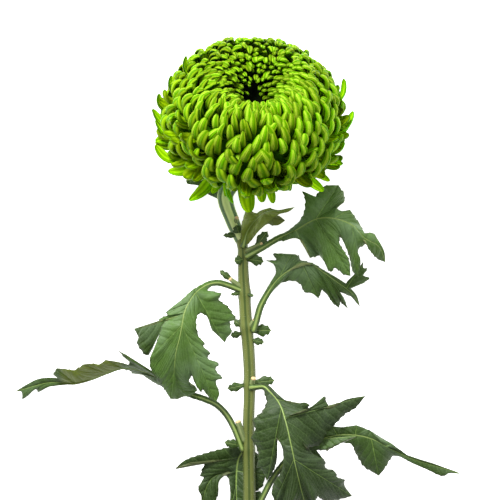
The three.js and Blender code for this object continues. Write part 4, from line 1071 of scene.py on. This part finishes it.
LEAF_LEFT = dict(
  hand=-1, stalk=3, width=3.2, sag=0.3,
  rib=[
    [-6.2, -84.3, -20.5], [-12, -82, -17.5], [-17.5, -80.5, -13], [-21.6, -81, -9.5], [-24.7, -82.3, -7],
    [-28.8, -85.4, -4], [-32.3, -90.5, -1.5], [-34.4, -95.5, 0], [-35.5, -101.7, 1], [-36.7, -107.8, 1],
    [-38.5, -115, 0], [-39.2, -122, -2.5], [-38.7, -129.2, -7], [-35.4, -134.8, -11.5], [-28, -134.6, -14.5],
  ],
  lobes=[
    dict(at=6, tip=[-43.9, -95.3, -4],
      gap=[[-24.7, -80.6], [-30.8, -84.2]], out=[[-35.9, -88.9], [-40, -92]]),
    # painted shade: this lobe lies lower and faces away from the light, so its outer half is darkened
    dict(at=7, tip=[-59.9, -103.7, -13], shade=0.55,
      gap=[[-42.6, -96.8]], out=[[-46.5, -98.2, -6], [-51.2, -103.8, -10], [-57.9, -103.2, -12]],
      back=[[-57.6, -108.5, -13], [-58.6, -110.4, -13.5], [-56.6, -114.2, -13.5], [-53.3, -117.2, -13],
        [-48, -108, -10.5], [-45.6, -99.2, -6.5]]),
    dict(at=8, tip=[-51.7, -118, -3],
      gap=[[-41.8, -98.6, -2.4]], out=[[-45.2, -101, -1.2], [-46.2, -104, -0.8], [-48.9, -111.4]],
      back=[[-51.7, -122], [-50.4, -126]]),
    dict(at=11, tip=[-41.5, -138.9, -12],
      gap=[[-46.5, -129.5]], out=[[-44.5, -134]], back=[[-38, -139.2, -13]]),
    dict(at=12, gap=[[-35.5, -138, -13.5]], out=[[-31, -137.2, -15]], back=[[-28.8, -132.8, -13]]),
    dict(at=8, tip=[-18.5, -140.5, -9],
      gap=[[-31.6, -131.5, -9], [-31.9, -129, -7], [-30.6, -127, -5]],
      out=[[-29.3, -130.5, -5], [-26.2, -135, -6], [-25.2, -134.3], [-22.1, -137.9]],
      back=[[-16.9, -135.9], [-18.5, -129.7], [-15.2, -128.3], [-18.8, -124.1], [-17.2, -120.8],
        [-22.6, -118.3], [-21.5, -115.5], [-24.6, -112.4], [-24.4, -110.4], [-27.2, -107.3]]),
    dict(at=5, tip=[-14.2, -110.6, -12],
      gap=[[-28.2, -102.2], [-28, -97.5], [-26, -95.3]],
      out=[[-23.1, -97.6], [-20.6, -104.2], [-17.2, -107.5]],
      back=[[-12.7, -107.8], [-10.9, -105.8], [-11.4, -99.6], [-8.4, -99.1], [-10.4, -95.5], [-12.4, -92.5],
        [-17, -88.7], [-15.8, -86.2, -6], [-19.5, -84.8, -6.5], [-22.8, -84.2, -7]]),
  ],
)
placed_leaf("leaf_left_blade", "leaf_left", shade=1.5, **LEAF_LEFT)

LEAF_FAR_LEFT = dict(
  hand=-1, stalk=5, width=3.2, sag=0.3,
  rib=[
    [-5.6, -164, -20.5], [-9.5, -154, -20], [-13.5, -147, -19], [-18.5, -142, -18.2], [-24.5, -139.2, -17.8],
    [-30.5, -137.2, -17.6], [-37.5, -134, -17], [-46.5, -129, -14.5], [-55.8, -125, -11.5],
    [-64.9, -123.5, -10], [-72.9, -126, -12], [-81.1, -129.3, -14.5], [-89.3, -131.5, -17.5],
    [-96.5, -131, -20.5], [-103.8, -131.2, -24], [-112.2, -133.3, -28], [-121, -136, -31],
  ],
  lobes=[
    dict(at=6, tip=[-67, -114.4, 1.5],
      gap=[[-33, -134.5, -15.5]], out=[[-43, -129.5, -12.5], [-52, -124, -5.5]],
      back=[[-64.8, -117.5, -0.5], [-62, -120, -4]]),
    dict(at=9, tip=[-74, -119.2, -4],
      gap=[[-62.5, -121.8, -6]], out=[[-67.5, -120.3, -5]], back=[[-76.9, -121.4, -6]]),
    dict(at=10, tip=[-85.2, -121.5, -6], out=[[-80, -121, -5]], back=[[-89.6, -124.5, -10]]),
    dict(at=12, tip=[-99, -123.6, -13], out=[[-93.6, -124, -10]], back=[[-101, -126.8, -17]]),
    dict(at=13, gap=[[-98.6, -128.8, -19.5]],
      out=[[-103.7, -128.5, -22.5], [-109.2, -129.4, -25.5], [-115.2, -132.4, -28.5]],
      back=[[-117.5, -136, -30.6], [-117, -139.5, -31], [-114.8, -138.5, -30.2], [-110.2, -134.8, -28],
        [-109, -136, -27.8], [-103.7, -133.4, -25.5]]),
    dict(at=11, tip=[-88, -127.5, -26],
      gap=[[-95, -132, -22]], out=[[-91, -130.5, -24]], back=[[-82, -128, -22]]),
    dict(at=9, tip=[-75, -122.5, -25],
      gap=[[-77, -127, -18]], out=[[-76.5, -125, -22]], back=[[-69, -123.5, -19]]),
    dict(at=7, tip=[-58, -126, -27],
      gap=[[-61, -125, -14]], out=[[-61, -126.5, -20]], back=[[-50, -131, -20], [-42, -134.5, -15]]),
  ],
)
placed_leaf("leaf_far_left_blade", "leaf_far_left", turned=(-95, -68), **LEAF_FAR_LEFT)

LEAF_FRONT = dict(
  hand=-1, stalk=1, width=3.4, sag=0.3,
  rib=[
    [0.2, -133.2, -18], [5.5, -132.8, -14], [8.5, -135.2, -10], [12, -139, -5], [14.2, -143, -1.5],
    [15.8, -148, 1.5], [17.2, -153, 3.5], [18.5, -159, 4.5], [19.8, -165, 4.5], [20.5, -168.5, 4],
    [21.8, -174, 2.5], [23.5, -181.5, -1], [25.5, -189, -6], [27.5, -196.5, -12], [29.5, -204, -18],
    [31.5, -211.5, -24],
  ],
  lobes=[
    dict(at=4, tip=[7, -180, -9],
      gap=[[5.8, -136.6, -12.5], [7, -140, -8.5]],
      out=[[4.6, -144.9], [0, -149.5], [1.2, -153.5], [-0.8, -158.4], [2, -163.6], [2.5, -169.5],
        [1.7, -173.2], [3.8, -173.8]],
      back=[[9.7, -176], [11.4, -172], [12.2, -166], [11.4, -160.5]]),
    dict(at=9, tip=[8, -197, -14],
      gap=[[11.8, -157.5]],
      out=[[14.6, -163], [14.9, -171.5], [13.3, -176.3], [10.9, -179.5], [9.7, -183], [9.3, -186.3],
        [11, -190]],
      back=[[13, -197]]),
    dict(at=11, gap=[[18, -193]], out=[[21, -199], [22.5, -205]], back=[[33.5, -204], [33.5, -197]]),
    dict(at=9, tip=[50, -188, -15],
      gap=[[31, -191], [32.5, -187]], out=[[37, -190.5], [42, -190]],
      back=[[46, -182.3], [46, -179.5], [42.5, -178], [40.9, -174.8], [36.5, -173.2], [36, -169.5],
        [31, -166.5]]),
    dict(at=5, tip=[56.5, -137, -4],
      gap=[[26.5, -163]],
      out=[[31, -162.2], [34, -161.2], [37, -155.5], [40.5, -152], [46, -146.5], [51.5, -143]],
      back=[[46, -138.9], [41.7, -141.7], [39.5, -144.3], [38, -143.3], [35.7, -137], [33.3, -140.5],
        [30.3, -141.7], [29.3, -143.2]]),
    dict(at=3, tip=[28.6, -141.6, -3],
      gap=[[25.2, -144]], out=[[27, -143.4]],
      back=[[26.1, -140.3], [21.3, -141], [18.1, -140.5], [13.4, -136.9], [10.2, -134]]),
  ],
)
placed_leaf("leaf_front_blade", "leaf_front", shade=0.5, **LEAF_FRONT)

LEAF_LOWER_RIGHT = dict(
  hand=1, stalk=5, width=3.2, sag=0.3,
  rib=[
    [1.2, -196.5, -20.5], [5.5, -187.5, -17], [9, -180.5, -14.5], [13, -174.5, -12.5], [18.5, -168, -11],
    [26, -162.5, -10], [33.5, -159, -9.5], [42.5, -157, -9.5], [51.5, -157, -10], [59.5, -159, -12],
    [66.9, -162.9, -15], [73.2, -166.2, -18], [80.5, -169.5, -21], [88.8, -172.2, -24], [97.4, -174.8, -26.5],
    [105.4, -177.6, -28.8],
  ],
  lobes=[
    dict(at=7, tip=[39.8, -152.4, -9],
      gap=[[30, -156.5, -9.5]], out=[[36, -154]], back=[[44.5, -153]]),
    dict(at=8, tip=[52, -151.9, -9.5], back=[[58.8, -154.6]]),
    dict(at=10, tip=[70, -161.5, -14.5], out=[[65.3, -158.8]], back=[[73, -163.8]]),
    dict(at=12, gap=[[77.8, -167.4, -19.5]], out=[[84, -169.6, -21.5], [92.6, -172.4, -24.5]],
      back=[[99.2, -177.2, -27], [96.6, -178.6, -26.5], [87.3, -174.8, -23.8], [80.5, -171.8, -21.3]]),
    dict(at=9, tip=[63.5, -178, -20],
      gap=[[74.5, -168.5, -19]], out=[[71, -168, -18], [66.5, -174.3, -18.5]],
      back=[[58.8, -175.2], [56, -173.3], [51.5, -166.2]]),
    dict(at=6, tip=[51.8, -157.2, -1.5],
      gap=[[49, -161.5, -11], [42, -161.2, -10.5]], out=[[37, -164.6, -11.5], [44, -160.9, -9.5]],
      back=[[44, -160.6, -3], [36, -164.4, -5.5]]),
    dict(at=5, tip=[36, -170, -13],
      gap=[[32, -164.6, -9.5]], out=[[33.6, -166.8, -11]], back=[[31.5, -171, -13], [27, -167, -11.5]]),
  ],
)
placed_leaf("leaf_lower_right_blade", "leaf_lower_right", shade=0.9, **LEAF_LOWER_RIGHT)

LEAF_LOWER_LEFT = dict(
  hand=-1, stalk=0, width=3.2, sag=0.1,
  rib=[
    [-4.6, -165.5, -24.5], [-7, -169, -26.5], [-8.2, -176, -28], [-8.6, -184, -28.4], [-8.4, -192, -28],
    [-7.5, -200, -27.4], [-6.5, -208, -26.9], [-6, -214, -26.6],
  ],
  lobes=[
    dict(at=1, tip=[-39.3, -174.4, -21],
      out=[[-10, -163.5, -23.5], [-15.5, -164.4, -22], [-22.6, -166.2, -20.5], [-34.6, -170.2, -19.5]],
      back=[[-33.8, -172, -20.5], [-27.4, -171.3, -21.5]]),
    dict(at=2, tip=[-27, -196, -27.6], via=[-20.8, -179.5, -25.4],
      gap=[[-22.6, -170.4, -22]],
      out=[[-24.6, -172.5, -23], [-26.6, -178.4, -24.5], [-25, -179.2, -24.8], [-27.8, -184.8, -26],
        [-26.2, -189, -26.5]],
      back=[[-22, -196, -27.4], [-18.4, -190, -26.8], [-17.4, -186, -26.4], [-17.6, -182, -26],
        [-14.6, -177, -26]]),
    dict(at=3, tip=[-14, -206, -27.2],
      gap=[[-12.2, -180, -26.6]],
      out=[[-11.6, -189, -27.4]], back=[[-10.5, -204, -27.2]]),
    dict(at=5, gap=[[-9.8, -202, -27.2]], out=[[-8.8, -210, -26.9]], back=[[-3.5, -209, -26.9]]),
    dict(at=4, tip=[5, -203, -26.5],
      gap=[[-3, -203, -27.2]], out=[[0, -205, -27.2]],
      back=[[4.5, -196, -26.4], [6, -190, -26.2], [3.5, -186, -26.6]]),
    dict(at=2, tip=[6.5, -178, -25.8],
      gap=[[0, -187, -27]], out=[[4.5, -184, -26.2]],
      back=[[3.5, -172, -26.2], [2.2, -167, -26.2], [-1, -164.5, -26.2]]),
  ],
)
placed_leaf("leaf_lower_left_blade", "leaf_lower_left", shade=0.6, **LEAF_LOWER_LEFT)

# Small leafy ears at the feet of the leaves and stubs: where each starts, its tip and its breadth
EARS = [
    [[-3.4, -68.5, -20], [5.4, -69.8, -17.4], 5.6], [[-4, -68.5, -20.5], [-9.4, -69.6, -18.4], 5],
    [[0.5, -63.6, -18.8], [7.4, -54.6, -17.6], 5.4], [[-8.6, -80.8, -20], [-17, -74.2, -19], 3.4],
    [[-4.6, -85.6, -20.6], [-11.4, -86.4, -18.6], 2.2], [[-4.2, -86.2, -20], [0.4, -87.2, -18.4], 2.2],
    [[-5, -103, -22.5], [-9.6, -99.6, -23], 4.2], [[-4.6, -106, -22.5], [-11.4, -107.2, -22], 4],
    [[-1.6, -104.6, -21], [9.3, -104.6, -20], 6.4], [[-1.8, -109.4, -21.5], [5.6, -110.6, -21], 4],
    [[-3, -132, -21.5], [-13, -134, -20], 4.8], [[-0.6, -131, -21.5], [11, -129.8, -20], 5.6],
    [[-3.8, -163.4, -21.5], [-14.5, -161, -19.5], 4.8], [[-6, -56.4, -22], [-15.2, -56.6, -20], 3],
    [[-6.6, -57.2, -21.5], [-8.4, -51.4, -19], 5.4],
]
EAR_ARCH = 0.8


def ear(root, tip, breadth):
    """A small arched leaf with a ragged edge, from its root on the stem to its tip"""
    root, run = np.array(root), np.subtract(tip, root)
    aside = unit(np.array([-run[1], run[0], 0])) * breadth / 2

    def at(along, out):
        arch = EAR_ARCH * (math.sin(math.pi * along) - 0.7 * abs(out))
        return root + run * along + aside * out + (0, 0, arch)

    upper = [at(0.6, 1.05), at(0.72, 0.72), at(0.84, 0.85), at(0.9, 0.42)]
    lower = [at(0.92, -0.35), at(0.86, -0.8), at(0.74, -0.62), at(0.66, -1.05), at(0.3, -0.5)]
    return leaf("ear", hand=1, stalk=0, width=0.35 * breadth, sag=0, rib=[at(0, 0), at(0.5, 0), at(1, 0)],
                lobes=[dict(at=1, gap=[at(0.3, 0.5)], out=upper, back=lower)], vein_start=0.05, thickness=0.3)


ears = joined([ear(*row) for row in EARS], "stem_ears", merge=0)
set_attribute(ears, "shade", 0.85)
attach(ears, "root")
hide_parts("stem")


# ------------------------------------------------------------------------- the bracts of the head
# The cup behind the florets: rings of small green bracts that overlap like tiles, grown from the
# end of the neck.

bract_skin, tree, shader = new_material("bract_skin", roughness=0.6)
bract_middle = mathed(tree, "SUBTRACT", map_parts(tree)[0], 0.5)
bract_edge = ranged(tree, mathed(tree, "ABSOLUTE", bract_middle), 0.3, 0.5)
bract_green = blended(tree, bract_edge, linear(84, 116, 56), linear(168, 170, 110))
painted(tree, shader, bract_green, 200.0, 0.25, 0.0004)

# Each ring's height on the neck's end, its radius at the bracts' feet and tips, their number and breadth
BRACT_RINGS = [(0.4, 3.6, 8.6, 11, 5.2), (2.2, 6.0, 11.2, 12, 5.8), (4.0, 8.0, 13.0, 13, 6.4)]
NECK_END = np.array([-6, -25.5, -22.5])
bracts = []
for ring, (height, inner, outer, count, breadth) in enumerate(BRACT_RINGS):
    for k in range(count):
        turn = 2 * math.pi * (k + 0.5 * (ring % 2)) / count
        spoke = head_across * math.cos(turn) + head_up * math.sin(turn)
        round_ = np.cross(head_axis, spoke)
        f = np.linspace(0, 1, 9)[:, None, None]
        a = np.linspace(-1, 1, 7)[None, :, None]
        spread = breadth / 2 * np.sin(np.pi * (0.16 + 0.8 * f)) ** 0.8
        points = (NECK_END + spoke * (inner + (outer - inner) * np.sin(f * 1.5))
                  + head_axis * (height + 4.6 * f ** 1.6) + round_ * a * spread
                  + (spoke * 0.7 - head_axis * 0.7) * (1 - a ** 2) * 0.7)
        uv = np.stack(np.broadcast_arrays(a[..., 0] * 0.5 + 0.5, f[..., 0]), axis=-1)
        bracts.append(sheet("bract", laid(points), uv))
cup = joined(bracts, "bract_cup", merge=0)
cup.data.materials.append(bract_skin)
finish_modifier(cup, "SOLIDIFY", thickness=0.5 * MM, offset=0)
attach(cup, "root")
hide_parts("involucre")


# ------------------------------------------------------------------------------ camera and light
# The camera looks straight down on the flower. A soft light stands beyond the head, to the left, a
# weaker one to the right and a faint one in front, and the white room fills the shadows.

VIEW_MIDDLE = (-1.5, -64, 2000)
LENS, SENSOR = 288, 36             # mm
FARTHEST_SEEN = 20                 # metres
ROOM_LIGHT = 0.17
LIT_SPOT = (0, -60, 0)
bpy.ops.object.camera_add(location=laid(VIEW_MIDDLE), rotation=(STEM_SLOPE, 0, 0))
camera = bpy.context.object
camera.data.lens = LENS
camera.data.sensor_width = SENSOR
camera.data.clip_end = FARTHEST_SEEN
scene.camera = camera

# Each light's place in mm, its size in metres and its power in watts
LIGHTS = [
    ("key_light", (-450, 850, 850), 0.5, 31),
    ("side_light", (750, 350, 850), 0.9, 7),
    ("front_light", (-100, -500, 1200), 0.9, 3),
]
for name, place, size, power in LIGHTS:
    bpy.ops.object.light_add(type="AREA", location=laid(place))
    light = bpy.context.object
    light.name = name
    light.data.size = size
    light.data.energy = power
    heading = np.array(light.location) - laid(LIT_SPOT)
    flat = math.hypot(heading[0], heading[1])
    light.rotation_euler = (math.atan2(flat, heading[2]), 0, math.atan2(heading[1], heading[0]) + math.pi / 2)

world = bpy.data.worlds.new("white_room")
scene.world = world
world.use_nodes = True
world.node_tree.nodes["Background"].inputs["Color"].default_value = (1, 1, 1, 1)
world.node_tree.nodes["Background"].inputs["Strength"].default_value = ROOM_LIGHT
scene.view_settings.view_transform = "Standard"
